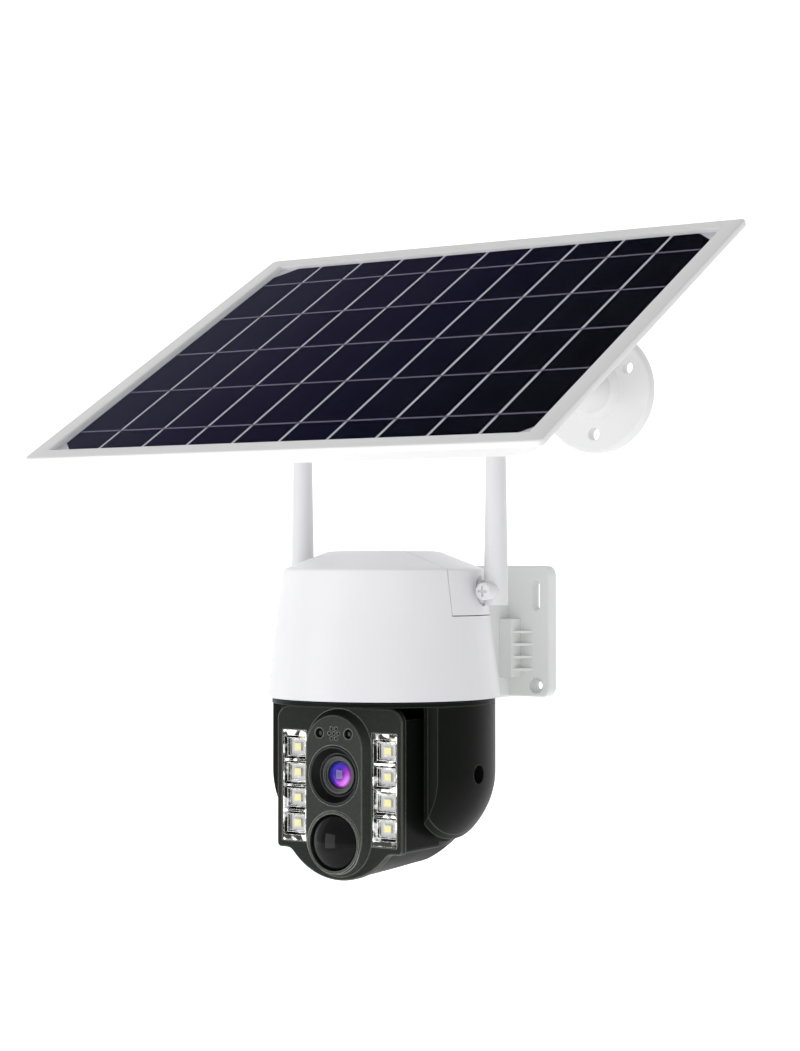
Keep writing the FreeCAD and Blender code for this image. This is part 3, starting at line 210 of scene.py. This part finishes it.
def speckled_paint(name, base, fleck, rough):
    """Graphite paint with fine metallic flecks and a painted highlight along its edges."""
    made = Finish(name, Metallic=0.2, Specular_IOR_Level=0.1)
    grit = made.ramp(made.noise(3600.0, 3.0, 0.7), [(0.42, (0, 0, 0)), (0.68, (1, 1, 1))])
    drift = made.noise(45.0, 3.0)
    tone = made.mix(grit, base, fleck)
    tone = made.mix(drift * 0.35, tone, tuple(c * 1.35 for c in base))
    # painted highlight: sharp edges lightened to a pale grey-green
    tone = made.mix(made.edges(0.7 * MM) * 0.9, tone, (0.34, 0.37, 0.32))
    made.set("Base Color", tone)
    made.set("Roughness", made.noise(900.0, 2.0) * 0.16 + (rough - 0.08))
    made.bump(made.noise(3600.0, 2.0), 0.03 * MM, 0.6, made.rounded(0.4 * MM))
    return made.material


def polished_black(name, rough=0.05, gloss=0.25, edge=(0.01, 0.01, 0.01)):
    made = Finish(name, Specular_IOR_Level=gloss)
    tone = made.mix(made.noise(60.0), (0.002, 0.002, 0.0025), (0.006, 0.006, 0.007))
    # painted highlight: sharp edges are tinted towards the edge colour
    made.set("Base Color", made.mix(made.edges(0.35 * MM), tone, edge))
    made.set("Roughness", made.noise(300.0) * 0.05 + rough)
    made.bump(made.noise(120.0, 2.0), 0.01 * MM, 0.1, made.rounded(0.25 * MM))
    return made.material


def metal(name, colour, rough, streak, direction=(1.0, 0.0, 0.0)):
    """Plated or turned metal with fine lines."""
    made = Finish(name, Metallic=1.0)
    lines = made.node("TexNoise", {"noise_dimensions": "1D"}, "Fac", W=made.along(direction) * streak,
                      Scale=1.0, Detail=3.0)
    made.set("Base Color", made.mix(lines, tuple(c * 0.75 for c in colour), colour))
    made.set("Roughness", lines * 0.15 + rough)
    made.bump(lines, 0.01 * MM, 0.3, made.rounded(0.2 * MM))
    return made.material


def circuit_board(name, mask, track):
    """Solder mask over a maze of tracks, with tinned pads."""
    made = Finish(name, Coat_Weight=0.4, Coat_Roughness=0.15)
    tracks = made.node("TexBrick", {"offset": 0.5}, "Fac", Vector=made.place, Scale=260.0, Mortar_Size=0.03)
    pads = made.node("TexVoronoi", {}, "Distance", Vector=made.place, Scale=300.0) < 0.16
    tone = made.mix(tracks * 0.5, mask, track)
    made.set("Base Color", made.mix(pads, tone, (0.62, 0.62, 0.58)))
    made.set("Metallic", pads * 0.8)
    made.set("Roughness", made.noise(90.0) * 0.15 + 0.3)
    made.bump(tracks, 0.03 * MM, 0.5, made.rounded(0.2 * MM))
    return made.material


def dull_rubber(name, colour):
    made = Finish(name, Specular_IOR_Level=0.3)
    made.set("Base Color", made.mix(made.noise(120.0, 4.0), colour, tuple(c * 1.8 + 0.01 for c in colour)))
    made.set("Roughness", made.noise(500.0) * 0.2 + 0.65)
    made.bump(made.noise(2200.0, 3.0), 0.04 * MM, 0.6, made.rounded(0.4 * MM))
    return made.material


def shrink_sleeve(name, colour):
    made = Finish(name, Coat_Weight=0.6, Coat_Roughness=0.12)
    rings_and_sheen = made.node("TexWave", {"bands_direction": "X"}, "Fac", Vector=made.place, Scale=30.0,
                      Distortion=2.0)
    # the wave bands darken the colour in stripes as a painted sheen; they also drive the bump
    made.set("Base Color", made.mix(rings_and_sheen * 0.4, colour, tuple(c * 0.6 for c in colour)))
    made.set("Roughness", made.noise(200.0) * 0.1 + 0.25)
    made.bump(rings_and_sheen, 0.05 * MM, 0.3, made.rounded(0.4 * MM))
    return made.material


def mirror_chrome(name):
    """Vacuum-plated plastic: bright, with the slight orange peel of the moulding under it, painted dark pools
    of shade and reflection, and a painted near-white highlight along sharp edges.
    """
    made = Finish(name, Metallic=1.0)
    peel = made.noise(520.0, 3.0)
    # painted shade and reflection: dark and mid-grey pools in the plating's colour
    painted_shade_pools = made.ramp(made.noise(240.0, 1.5, 0.4), [(0.47, (0.02, 0.02, 0.018)), (0.53, (0.22, 0.22, 0.20)),
                                                    (0.60, (0.88, 0.89, 0.90))])
    # painted highlight: near-white along sharp edges
    made.set("Base Color", made.mix(made.edges(0.28 * MM), painted_shade_pools, (0.98, 0.98, 0.98)))
    made.set("Roughness", made.noise(900.0) * 0.12 + 0.1)
    made.bump(peel, 0.16 * MM, 0.55, made.rounded(0.15 * MM))
    return made.material


def phosphor(name):
    """Yellow lamp phosphor with fine grains."""
    made = Finish(name, Coat_Weight=0.5, Coat_Roughness=0.2, Emission_Strength=0.35)
    grains = made.noise(4200.0, 3.0, 0.7)
    made.set("Base Color", made.mix(grains, (0.55, 0.50, 0.10), (0.88, 0.84, 0.34)))
    made.set("Emission Color", made.mix(grains, (0.40, 0.37, 0.10), (0.60, 0.57, 0.26)))
    made.set("Roughness", grains * 0.2 + 0.35)
    made.bump(grains, 0.03 * MM, 0.6)
    return made.material


def coated_glass(name, centre, radius):
    """Front lens: violet and magenta coating tint, painted as a reflection across the glass, over a dark
    barrel; the glass glows as painted light.
    """
    # Emission makes the glass glow as painted light, though it is no lamp.
    made = Finish(name, Coat_Weight=0.6, Coat_Roughness=0.02, Metallic=0.4, Emission_Strength=0.45)
    local = made.offset(tuple(centre))
    out = made.length(local) / radius
    # painted reflection: the tint runs from blue to magenta across one fixed slant of the lens
    slant = (made.along((0.80, 0.0, -0.60)) - Vector((0.80, 0.0, -0.60)).dot(centre)) / radius * 0.5 + 0.5
    sheen = made.ramp(slant.held(), [(0.15, (0.02, 0.02, 0.40)), (0.45, (0.06, 0.01, 0.42)),
                                     (0.68, (0.30, 0.02, 0.48)), (0.92, (0.60, 0.16, 0.66))])
    pupil = made.ramp(out.held(), [(0.08, (1.0, 1.0, 1.0)), (0.42, (0.55, 0.55, 0.55)), (0.60, (0, 0, 0)),
                                   (0.80, (0, 0, 0)), (0.97, (0.8, 0.8, 0.8))])
    tone = made.mix(pupil, sheen, (0.008, 0.006, 0.06))
    made.set("Base Color", tone)
    made.set("Emission Color", tone)
    made.set("Roughness", made.noise(800.0) * 0.03 + 0.04)
    return made.material


def clear_sheet(name):
    """Clear cover: nearly invisible, with a faint dusty film."""
    made = Finish(name, Specular_IOR_Level=0.5, Base_Color=(0.30, 0.30, 0.34, 1.0))
    dust = made.noise(35.0, 5.0, 0.65)
    made.set("Alpha", dust * 0.01 + 0.002)
    made.set("Roughness", dust * 0.1 + 0.05)
    return made.material


def silicon(name, across, up, half_width, middle):
    """Dark blue cells with printed fingers, and painted light and shade that grade from lighter at the
    panel's -X edge to near black at its +X edge.
    """
    made = Finish(name, Specular_IOR_Level=0.0)
    # painted light and shade: the cells' colour runs from dark blue at -X to near black at +X, standing in
    # for reflected light
    run = (made.along(across) - Vector(across).dot(middle)) / (2.0 * half_width) + 0.5
    painted_shade = made.ramp(run.held(), [(0.0, (0.036, 0.035, 0.062)), (0.3, (0.015, 0.012, 0.034)),
                                   (0.6, (0.004, 0.003, 0.016)), (0.85, (0.0008, 0.0006, 0.004)),
                                   (1.0, (0.0006, 0.0005, 0.002))])
    mottle = made.noise(70.0, 3.0)
    painted_shade = made.mix(mottle * 0.3, painted_shade, made.mix(0.5, painted_shade, (0.0, 0.0, 0.012)))
    fingers = (made.along(up) / (1.5 * MM)).fold("FRACT") < 0.07
    made.set("Base Color", made.mix(fingers * 0.12, painted_shade, (0.10, 0.10, 0.16)))
    made.set("Roughness", mottle * 0.1 + 0.22)
    made.bump(fingers, 0.01 * MM, 0.3)
    return made.material


def flat_ribbon(name):
    made = Finish(name, Metallic=0.6)
    solder = made.noise(900.0, 3.0)
    made.set("Base Color", made.mix(solder, (0.10, 0.09, 0.15), (0.18, 0.16, 0.26)))
    made.set("Roughness", solder * 0.2 + 0.35)
    made.bump(solder, 0.02 * MM, 0.4)
    return made.material


def white_film(name):
    made = Finish(name, Coat_Weight=0.5, Coat_Roughness=0.1)
    made.set("Base Color", made.mix(made.noise(30.0, 3.0), (0.55, 0.54, 0.62), (0.64, 0.63, 0.70)))
    made.set("Roughness", made.noise(400.0) * 0.1 + 0.35)
    return made.material


# ---- places taken from the frame

def centre_of(node):
    low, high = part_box(node)
    return (low + high) / 2


def size_of(node):
    low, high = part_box(node)
    return high - low


PANEL_OUT = Vector(JOINTS["panel_spin"]["axis"]).normalized()
PANEL_RIGHT = Vector((1.0, 0.0, 0.0))
PANEL_UP = PANEL_OUT.cross(PANEL_RIGHT)


def reach(node, direction):
    """Lowest and highest place of a node along a direction."""
    spots = [direction.dot(vertex.co) for vertex in NODES[node].data.vertices]
    return min(spots), max(spots)


def panel_matrix():
    """Middle of the panel's top face, with its axes across, up the slope and outwards."""
    middle = sum((axis * sum(reach("panel_frame", axis)) / 2 for axis in (PANEL_RIGHT, PANEL_UP)), Vector())
    middle += PANEL_OUT * reach("panel_frame", PANEL_OUT)[1]
    turned = Matrix((PANEL_RIGHT, PANEL_UP, PANEL_OUT)).transposed().to_4x4()
    return Matrix.Translation(middle) @ turned


# ---- mesh helpers

def piece(name, body, bm, finishes, replaces=(), crease=35.0):
    """Close a bmesh into an object that rides on a body."""
    for face in bm.faces:
        face.smooth = True
    for edge in bm.edges:
        edge.smooth = len(edge.link_faces) == 2 and edge.calc_face_angle(0.0) < radians(crease)
    mesh = bpy.data.meshes.new(name)
    bm.to_mesh(mesh)
    bm.free()
    for finish in finishes:
        mesh.materials.append(finish)
    made = bpy.data.objects.new(name, mesh)
    bpy.context.scene.collection.objects.link(made)
    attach(made, body)
    if replaces:
        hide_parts(*replaces)
    return made


def turned_shape(profile, origin, axis, steps=96):
    """Spin a (radius, depth) outline about an axis; depth runs along the axis from origin."""
    bm = bmesh.new()
    spots = [bm.verts.new((r * MM, 0.0, d * MM)) for r, d in profile]
    lines = [bm.edges.new(pair) for pair in zip(spots, spots[1:])]
    bmesh.ops.spin(bm, geom=spots + lines, cent=(0, 0, 0), axis=(0, 0, 1), angle=2 * pi, steps=steps,
                   use_merge=True)
    bmesh.ops.remove_doubles(bm, verts=bm.verts, dist=1e-6)
    bmesh.ops.recalc_face_normals(bm, faces=bm.faces)
    facing = Vector(axis).to_track_quat("Z", "X").to_matrix().to_4x4()
    bmesh.ops.transform(bm, matrix=Matrix.Translation(origin) @ facing, verts=bm.verts)
    return bm


def bevel_edges(bm, edges, width, segments=3):
    bmesh.ops.bevel(bm, geom=edges, offset=width, offset_type="OFFSET", segments=segments, profile=0.5,
                    affect="EDGES", material=-1, clamp_overlap=True)


def arc(centre_r, centre_d, radius, start, end, steps=8):
    """Points of an arc in a (radius, depth) outline; angles in degrees from the radial direction."""
    angles = [radians(start + (end - start) * k / steps) for k in range(steps + 1)]
    return [(centre_r + radius * cos(a), centre_d + radius * sin(a)) for a in angles]


def paint(finish, *nodes):
    for node in nodes:
        NODES[node].data.materials.clear()
        NODES[node].data.materials.append(finish)


# ---- finishes in use

housing_white = moulded("housing_white", (0.80, 0.80, 0.825), 0.38, 0.35, coat=0.15)
bracket_white = moulded("bracket_white", (0.78, 0.79, 0.78), 0.42, 0.4)
panel_white = moulded("panel_white", (0.83, 0.83, 0.83), 0.40, 0.3)
# aerial_white: the white plastic made a little darker as painted shade, holding down the strong light the
# antenna rods catch
aerial_white = moulded("aerial_white", (0.77, 0.77, 0.79), 0.40, 0.4)
# The edge colours given to satin_black and deep_black are painted highlights along sharp edges.
satin_black = moulded("satin_black", (0.006, 0.007, 0.006), 0.36, 0.5, edge=(0.075, 0.085, 0.075),
                      edge_size=0.6 * MM, gloss=0.05)
deep_black = moulded("deep_black", (0.006, 0.0065, 0.006), 0.45, 0.5, edge=(0.03, 0.035, 0.03), gloss=0.2)
graphite = speckled_paint("graphite", (0.017, 0.0185, 0.016), (0.070, 0.075, 0.066), 0.45)
dark_graphite = speckled_paint("dark_graphite", (0.0085, 0.0095, 0.008), (0.034, 0.037, 0.032), 0.45)
gloss_black = polished_black("gloss_black")
window_black = polished_black("window_black", 0.04, 0.14)
# bezel_black's last colour is a painted highlight along its sharp edges.
bezel_black = polished_black("bezel_black", 0.4, 0.2, (0.14, 0.15, 0.13))
barrel_black = moulded("barrel_black", (0.022, 0.026, 0.022), 0.35, 0.3, edge_size=0.15 * MM)
plated_steel = metal("plated_steel", (0.62, 0.62, 0.60), 0.28, 5000.0)
turned_brass = metal("turned_brass", (0.80, 0.62, 0.30), 0.3, 6000.0, (0.0, 0.0, 1.0))
white_nylon = moulded("white_nylon", (0.70, 0.69, 0.63), 0.5, 0.3)
soft_rubber = dull_rubber("soft_rubber", (0.02, 0.02, 0.021))
green_board = circuit_board("green_board", (0.010, 0.095, 0.035), (0.03, 0.20, 0.08))
white_board = circuit_board("white_board", (0.62, 0.62, 0.60), (0.72, 0.72, 0.70))
cell_sleeve = shrink_sleeve("cell_sleeve", (0.02, 0.11, 0.36))
chrome = mirror_chrome("chrome")
lamp_yellow = phosphor("lamp_yellow")
lamp_white = moulded("lamp_white", (0.78, 0.78, 0.74), 0.4, 0.2, edge_size=0.1 * MM)
ribbon_metal = flat_ribbon("ribbon_metal")
sheet_white = white_film("sheet_white")
cover_clear = clear_sheet("cover_clear")
panel_space = panel_matrix()
silicon_blue = silicon("silicon_blue", tuple(PANEL_RIGHT), tuple(PANEL_UP), size_of("solar_cells").x / 2,
                       panel_space.translation)

paint(bracket_white, "wall_bracket")
paint(housing_white, "housing_front_shell", "housing_rear_cover")
paint(panel_white, "panel_frame", "panel_back_shell", "panel_wall_base", "clamp_head")
paint(aerial_white, "antenna_left_base", "antenna_left_rod", "antenna_right_base", "antenna_right_rod")
paint(satin_black, "yoke_frame", "yoke_cover_left", "yoke_cover_right", "head_rear_shell")
paint(deep_black, "base_plate", "speaker", "charging_socket", "junction_box", "clamp_knob", "battery_holder")
paint(graphite, "sensor_cover", "pir_bezel")
paint(dark_graphite, "faceplate")
paint(gloss_black, "pir_lens", "lens_bezel", "lens_barrel", "light_sensors")
paint(plated_steel, "arm_screws", "housing_screws", "yoke_screws", "head_screws", "neck_retaining_ring",
      "tilt_shaft", "tilt_motor", "tilt_pivot_pin", "pan_motor", "pir_sensor", "microphone", "ball_stud")
paint(turned_brass, "board_standoffs")
paint(white_nylon, "pan_bush", "pan_gear", "pan_pinion", "cable_gland")
paint(soft_rubber, "rim_gasket", "power_button", "reset_button")
paint(green_board, "main_board", "button_board", "image_sensor_board")
paint(white_board, "led_boards")
paint(cell_sleeve, "battery_cells")
paint(chrome, "led_reflectors")
paint(lamp_yellow, "led_chips")
paint(silicon_blue, "solar_cells")
paint(ribbon_metal, "cell_ribbons")
paint(sheet_white, "panel_backsheet")
paint(cover_clear, "panel_glass")


# ---- optics

LENS_BULGE, WINDOW_BULGE, WINDOW_WALL = 1.5, 4.5, 1.2


def dome_outline(radius, bulge, steps):
    """Outline of a shallow dome from its tip out to its rim, in mm."""
    ball = (radius ** 2 + bulge ** 2) / (2 * bulge)
    span = atan(radius / (ball - bulge))
    return [(ball * sin(span * k / steps), ball - ball * cos(span * k / steps)) for k in range(steps + 1)]


def lens_pieces():
    """Bezel, stepped barrel and domed front glass of the camera's eye."""
    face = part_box("lens_bezel")[0].y
    middle = centre_of("lens_glass")
    origin = Vector((middle.x, face, middle.z))
    outline = [(12.2, 6.9)] + [(13.05, 6.9), (13.05, 0.5)] + arc(12.6, 0.45, 0.45, 0, -90, 5)
    outline += [(12.2, 0.05), (12.0, 0.35), (9.6, 3.7), (9.3, 3.8), (9.3, 4.6), (8.85, 4.7), (8.85, 6.9),
                (12.2, 6.9)]
    piece("lens_bezel_ring", "head", turned_shape(outline, origin, (0, 1, 0), 128), [bezel_black],
          ("lens_bezel",))
    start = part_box("lens_barrel")[0].y
    origin = Vector((middle.x, start, middle.z))
    barrel = [(5.95, 16.5), (8.6, 16.5), (8.6, 0.6)] + arc(8.1, 0.5, 0.5, 0, -90, 5)
    barrel += [(7.5, 0.0), (7.35, 0.35), (6.95, 0.35), (6.85, 0.9), (6.3, 0.95), (5.95, 1.6), (5.95, 16.5)]
    piece("lens_barrel_stepped", "head", turned_shape(barrel, origin, (0, 1, 0), 128), [barrel_black],
          ("lens_barrel",))
    low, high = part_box("lens_glass")
    radius = (high.x - low.x) / 2 / MM
    depth = (high.y - low.y) / MM
    glass = dome_outline(radius, LENS_BULGE, 16) + [(radius, depth), (0.0, depth)]
    piece("lens_glass_dome", "head", turned_shape(glass, Vector((middle.x, low.y, middle.z)), (0, 1, 0), 96),
          [coated_glass("coated_glass", Vector((middle.x, low.y, middle.z)), radius * MM)],
          ("lens_glass",))


def motion_lens():
    """Glossy domed window of the motion sensor."""
    low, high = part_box("pir_lens")
    middle = (low + high) / 2
    radius = (high.x - low.x) / 2 / MM
    ball = (radius ** 2 + WINDOW_BULGE ** 2) / (2 * WINDOW_BULGE)
    inner = ball - WINDOW_WALL
    span = atan(radius / (ball - WINDOW_BULGE))
    depth = (high.y - low.y) / MM
    hollow = [(inner * sin(span * k / 12), ball - inner * cos(span * k / 12)) for k in range(12)]
    shape = dome_outline(radius, WINDOW_BULGE, 28) + [(radius, depth), (radius - WINDOW_WALL, depth)]
    window = turned_shape(shape + hollow[::-1], Vector((middle.x, low.y, middle.z)), (0, 1, 0), 128)
    piece("motion_lens_dome", "head", window, [window_black], ("pir_lens",))


def light_sensor_domes():
    low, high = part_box("light_sensors")
    radius = (high.z - low.z) / 2 / MM
    depth = (high.y - low.y) / MM
    dome = [(radius * sin(radians(a)), 0.9 - 0.9 * cos(radians(a))) for a in range(0, 91, 10)]
    shape = dome + [(radius, depth), (0.0, depth)]
    bm = bmesh.new()
    for x in (low.x + radius * MM, high.x - radius * MM):
        one = turned_shape(shape, Vector((x, low.y, (low.z + high.z) / 2)), (0, 1, 0), 40)
        merge(bm, one)
    piece("light_sensor_domes", "head", bm, [gloss_black], ("light_sensors",))


def merge(bm, other):
    """Move another bmesh's geometry into this one."""
    mesh = bpy.data.meshes.new("moved")
    other.to_mesh(mesh)
    other.free()
    bm.from_mesh(mesh)
    bpy.data.meshes.remove(mesh)


# ---- lamps

LAMP_ROWS = 4
REFLECTOR_WIDTH, REFLECTOR_RIM = 12.7 * MM, 4.0 * MM
CHIP_SIZE = Vector((4.0, 3.7, 1.0)) * MM


def lamp_strips():
    """Two plated reflectors, each with four stepped square cups."""
    low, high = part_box("led_reflectors")
    width = REFLECTOR_WIDTH
    height, depth = high.z - low.z, high.y - low.y
    for side, name in ((-1, "left"), (1, "right")):
        bm = bmesh.new()
        bmesh.ops.create_grid(bm, x_segments=1, y_segments=LAMP_ROWS, size=0.5)
        bmesh.ops.scale(bm, vec=(width, height - REFLECTOR_RIM, 1.0), verts=bm.verts)
        cups = list(bm.faces)
        rim = bmesh.ops.extrude_edge_only(bm, edges=[e for e in bm.edges if e.is_boundary])
        outer = [v for v in rim["geom"] if isinstance(v, bmesh.types.BMVert)]
        for vert in outer:
            vert.co.y *= height / (height - REFLECTOR_RIM)
        shape_cups(bm, cups)
        skirt = bmesh.ops.extrude_edge_only(bm, edges=[e for e in bm.edges if e.is_boundary])
        down = [v for v in skirt["geom"] if isinstance(v, bmesh.types.BMVert)]
        bmesh.ops.translate(bm, vec=(0, 0, -(depth - 0.1 * MM)), verts=down)
        bmesh.ops.recalc_face_normals(bm, faces=bm.faces)
        x = high.x - width / 2 if side > 0 else low.x + width / 2
        place = Matrix.Translation((x, low.y, (low.z + high.z) / 2)) @ Matrix.Rotation(pi / 2, 4, "X")
        bmesh.ops.transform(bm, matrix=place, verts=bm.verts)
        stands_for = ("led_reflectors",) if side > 0 else ()
        piece("lamp_reflector_" + name, "head", bm, [chrome], stands_for, crease=20.0)


def shape_cups(bm, cups):
    """Sink each face into a bevelled, stepped, four-sided cup with an open floor."""
    bmesh.ops.inset_individual(bm, faces=cups, thickness=0.65 * MM, depth=0.0)
    bmesh.ops.inset_individual(bm, faces=cups, thickness=0.25 * MM, depth=-0.25 * MM)
    bmesh.ops.inset_individual(bm, faces=cups, thickness=1.3 * MM, depth=-1.0 * MM)
    bmesh.ops.inset_individual(bm, faces=cups, thickness=0.2 * MM, depth=0.0)
    bmesh.ops.inset_individual(bm, faces=cups, thickness=0.6 * MM, depth=-1.0 * MM)
    bmesh.ops.inset_individual(bm, faces=cups, thickness=0.2 * MM, depth=0.0)
    bmesh.ops.delete(bm, geom=cups, context="FACES")


def lamp_chips():
    """White packages with a square of yellow phosphor."""
    low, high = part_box("led_chips")
    size = CHIP_SIZE
    bm = bmesh.new()
    pitch = (high.z - low.z - size.y) / (LAMP_ROWS - 1)
    for side in (-1, 1):
        x = high.x - size.x / 2 if side > 0 else low.x + size.x / 2
        for row in range(LAMP_ROWS):
            chip = bmesh.new()
            bmesh.ops.create_cube(chip, size=1.0)
            bmesh.ops.scale(chip, vec=size, verts=chip.verts)
            bevel_edges(chip, list(chip.edges), 0.12 * MM, 2)
            front = max(chip.faces, key=lambda f: f.calc_center_median().z)
            bmesh.ops.inset_region(chip, faces=[front], thickness=0.4 * MM, depth=0.0)
            bmesh.ops.inset_region(chip, faces=[front], thickness=0.12 * MM, depth=-0.12 * MM)
            front.material_index = 1
            spot = (x, (low.y + high.y) / 2, low.z + size.y / 2 + row * pitch)
            place = Matrix.Translation(spot) @ Matrix.Rotation(pi / 2, 4, "X")
            bmesh.ops.transform(chip, matrix=place, verts=chip.verts)
            merge(bm, chip)
    piece("lamp_chips", "head", bm, [lamp_white, lamp_yellow], ("led_chips",))


# ---- solar panel

BORDER = Vector((8.4, 7.4)) * MM
PANEL_CORNER = 2.5 * MM


def panel_frame_moulding():
    """Flat white border with a rounded outer edge and a small inner chamfer."""
    width = size_of("panel_frame").x
    low, high = reach("panel_frame", PANEL_UP)
    height = high - low
    floor, top = reach("panel_frame", PANEL_OUT)
    bm = bmesh.new()
    bmesh.ops.create_grid(bm, x_segments=1, y_segments=1, size=0.5)
    bmesh.ops.scale(bm, vec=(width, height, 1.0), verts=bm.verts)
    bmesh.ops.bevel(bm, geom=list(bm.verts), offset=PANEL_CORNER, offset_type="OFFSET", segments=6,
                    profile=0.5, affect="VERTICES", material=-1)
    middle = max(bm.faces, key=lambda f: f.calc_area())
    bmesh.ops.inset_region(bm, faces=[middle], thickness=BORDER.x, depth=0.0, use_boundary=True)
    inner = list(middle.verts)
    for vert in inner:
        vert.co.x = (width / 2 - BORDER.x) * (1 if vert.co.x > 0 else -1)
        vert.co.y = (height / 2 - BORDER.y) * (1 if vert.co.y > 0 else -1)
    bmesh.ops.delete(bm, geom=[middle], context="FACES")
    bmesh.ops.remove_doubles(bm, verts=bm.verts, dist=1e-6)
    grown = bmesh.ops.extrude_face_region(bm, geom=list(bm.faces))
    lower = [v for v in grown["geom"] if isinstance(v, bmesh.types.BMVert)]
    bmesh.ops.translate(bm, vec=(0, 0, floor - top), verts=lower)
    bmesh.ops.recalc_face_normals(bm, faces=bm.faces)
    rims = [e for e in bm.edges if len(e.link_faces) == 2 and e.calc_face_angle(0.0) > radians(60)
            and abs(e.verts[0].co.z - e.verts[1].co.z) < 1e-6]
    bevel_edges(bm, rims, 0.7 * MM, 3)
    bmesh.ops.transform(bm, matrix=panel_space, verts=bm.verts)
    piece("panel_frame_moulding", "panel", bm, [panel_white], ("panel_frame",))


lens_pieces()
motion_lens()
light_sensor_domes()
lamp_strips()
lamp_chips()
panel_frame_moulding()


# ---- studio

VIEW_TURN = radians(33.2)
SWEEP_HALF = 4.0
STUDIO_GLOW = 0.50


def white_to_the_eye(tree, socket, lit, seen):
    """One strength for the light that a surface gives the object, another for what the camera sees."""
    strength = tree.nodes.new("ShaderNodeMapRange")
    strength.inputs["To Min"].default_value = lit
    strength.inputs["To Max"].default_value = seen
    tree.links.new(tree.nodes.new("ShaderNodeLightPath").outputs["Is Camera Ray"], strength.inputs["Value"])
    tree.links.new(strength.outputs["Result"], socket)


def plain(name, colour, lit, seen):
    made = bpy.data.materials.new(name)
    made.use_nodes = True
    shader = made.node_tree.nodes["Principled BSDF"]
    shader.inputs["Base Color"].default_value = (*colour, 1.0)
    shader.inputs["Roughness"].default_value = 0.9
    shader.inputs["Emission Color"].default_value = (1.0, 1.0, 1.0, 1.0)
    white_to_the_eye(made.node_tree, shader.inputs["Emission Strength"], lit, seen)
    return made


def studio_sweep():
    """Pale floor that curves up into the backdrop."""
    bm = bmesh.new()
    floor, back, bend = -0.55, 1.6, 0.5
    outline = [(-SWEEP_HALF, floor), (back - bend, floor)]
    outline += [(back - bend + bend * sin(a), floor + bend - bend * cos(a)) for a in
                (radians(15 * k) for k in range(1, 7))]
    outline += [(back, 3.0)]
    verts = [bm.verts.new((-SWEEP_HALF, y, z)) for y, z in outline]
    edges = [bm.edges.new(pair) for pair in zip(verts, verts[1:])]
    grown = bmesh.ops.extrude_edge_only(bm, edges=edges)
    far_side = [v for v in grown["geom"] if isinstance(v, bmesh.types.BMVert)]
    bmesh.ops.translate(bm, vec=(2 * SWEEP_HALF, 0, 0), verts=far_side)
    bmesh.ops.rotate(bm, cent=(0, 0, 0), matrix=Matrix.Rotation(VIEW_TURN, 3, "Z"), verts=bm.verts)
    for face in bm.faces:
        face.smooth = True
    mesh = bpy.data.meshes.new("studio_sweep")
    bm.to_mesh(mesh)
    bm.free()
    mesh.materials.append(plain("sweep_white", (0.88, 0.88, 0.88), STUDIO_GLOW, 0.85))
    sweep = bpy.data.objects.new("studio_sweep", mesh)
    bpy.context.scene.collection.objects.link(sweep)


def soft_light(name, target, offset, size, power):
    light = bpy.data.lights.new(name, "AREA")
    light.shape = "RECTANGLE"
    light.size, light.size_y = size
    light.energy = power
    made = bpy.data.objects.new(name, light)
    made.location = Vector(target) + Vector(offset)
    made.rotation_euler = (-Vector(offset)).to_track_quat("-Z", "Y").to_euler()
    bpy.context.scene.collection.objects.link(made)
    return made


def studio_lights():
    target = centre_of("lens_glass")
    soft_light("key", target, (-0.58, -0.92, -0.06), (0.60, 0.60), 2.8)
    soft_light("side", target, (-1.3, -0.3, 0.3), (0.8, 1.4), 1.3)
    soft_light("top", target, (-0.3, -0.8, 1.6), (1.6, 1.6), 0.7)
    soft_light("fill", target, (0.9, -1.3, -0.25), (1.4, 1.4), 7.4).visible_glossy = False
    world = bpy.data.worlds.new("studio_air")
    world.use_nodes = True
    backdrop = world.node_tree.nodes["Background"]
    backdrop.inputs["Color"].default_value = (1.0, 1.0, 1.0, 1.0)
    white_to_the_eye(world.node_tree, backdrop.inputs["Strength"], STUDIO_GLOW, 1.0)
    bpy.context.scene.world = world


def camera():
    """Long lens, to the right of the camera unit and level with its housing."""
    eye = bpy.data.cameras.new("view")
    eye.lens = 78.44
    eye.sensor_width = 36.0
    made = bpy.data.objects.new("view", eye)
    made.location = (0.5767, -0.9599, 0.0298)
    made.rotation_euler = (radians(90.0 + 1.09), 0.0, VIEW_TURN)
    bpy.context.scene.collection.objects.link(made)
    bpy.context.scene.camera = made


studio_sweep()
studio_lights()
camera()
bpy.context.scene.view_settings.view_transform = "Standard"
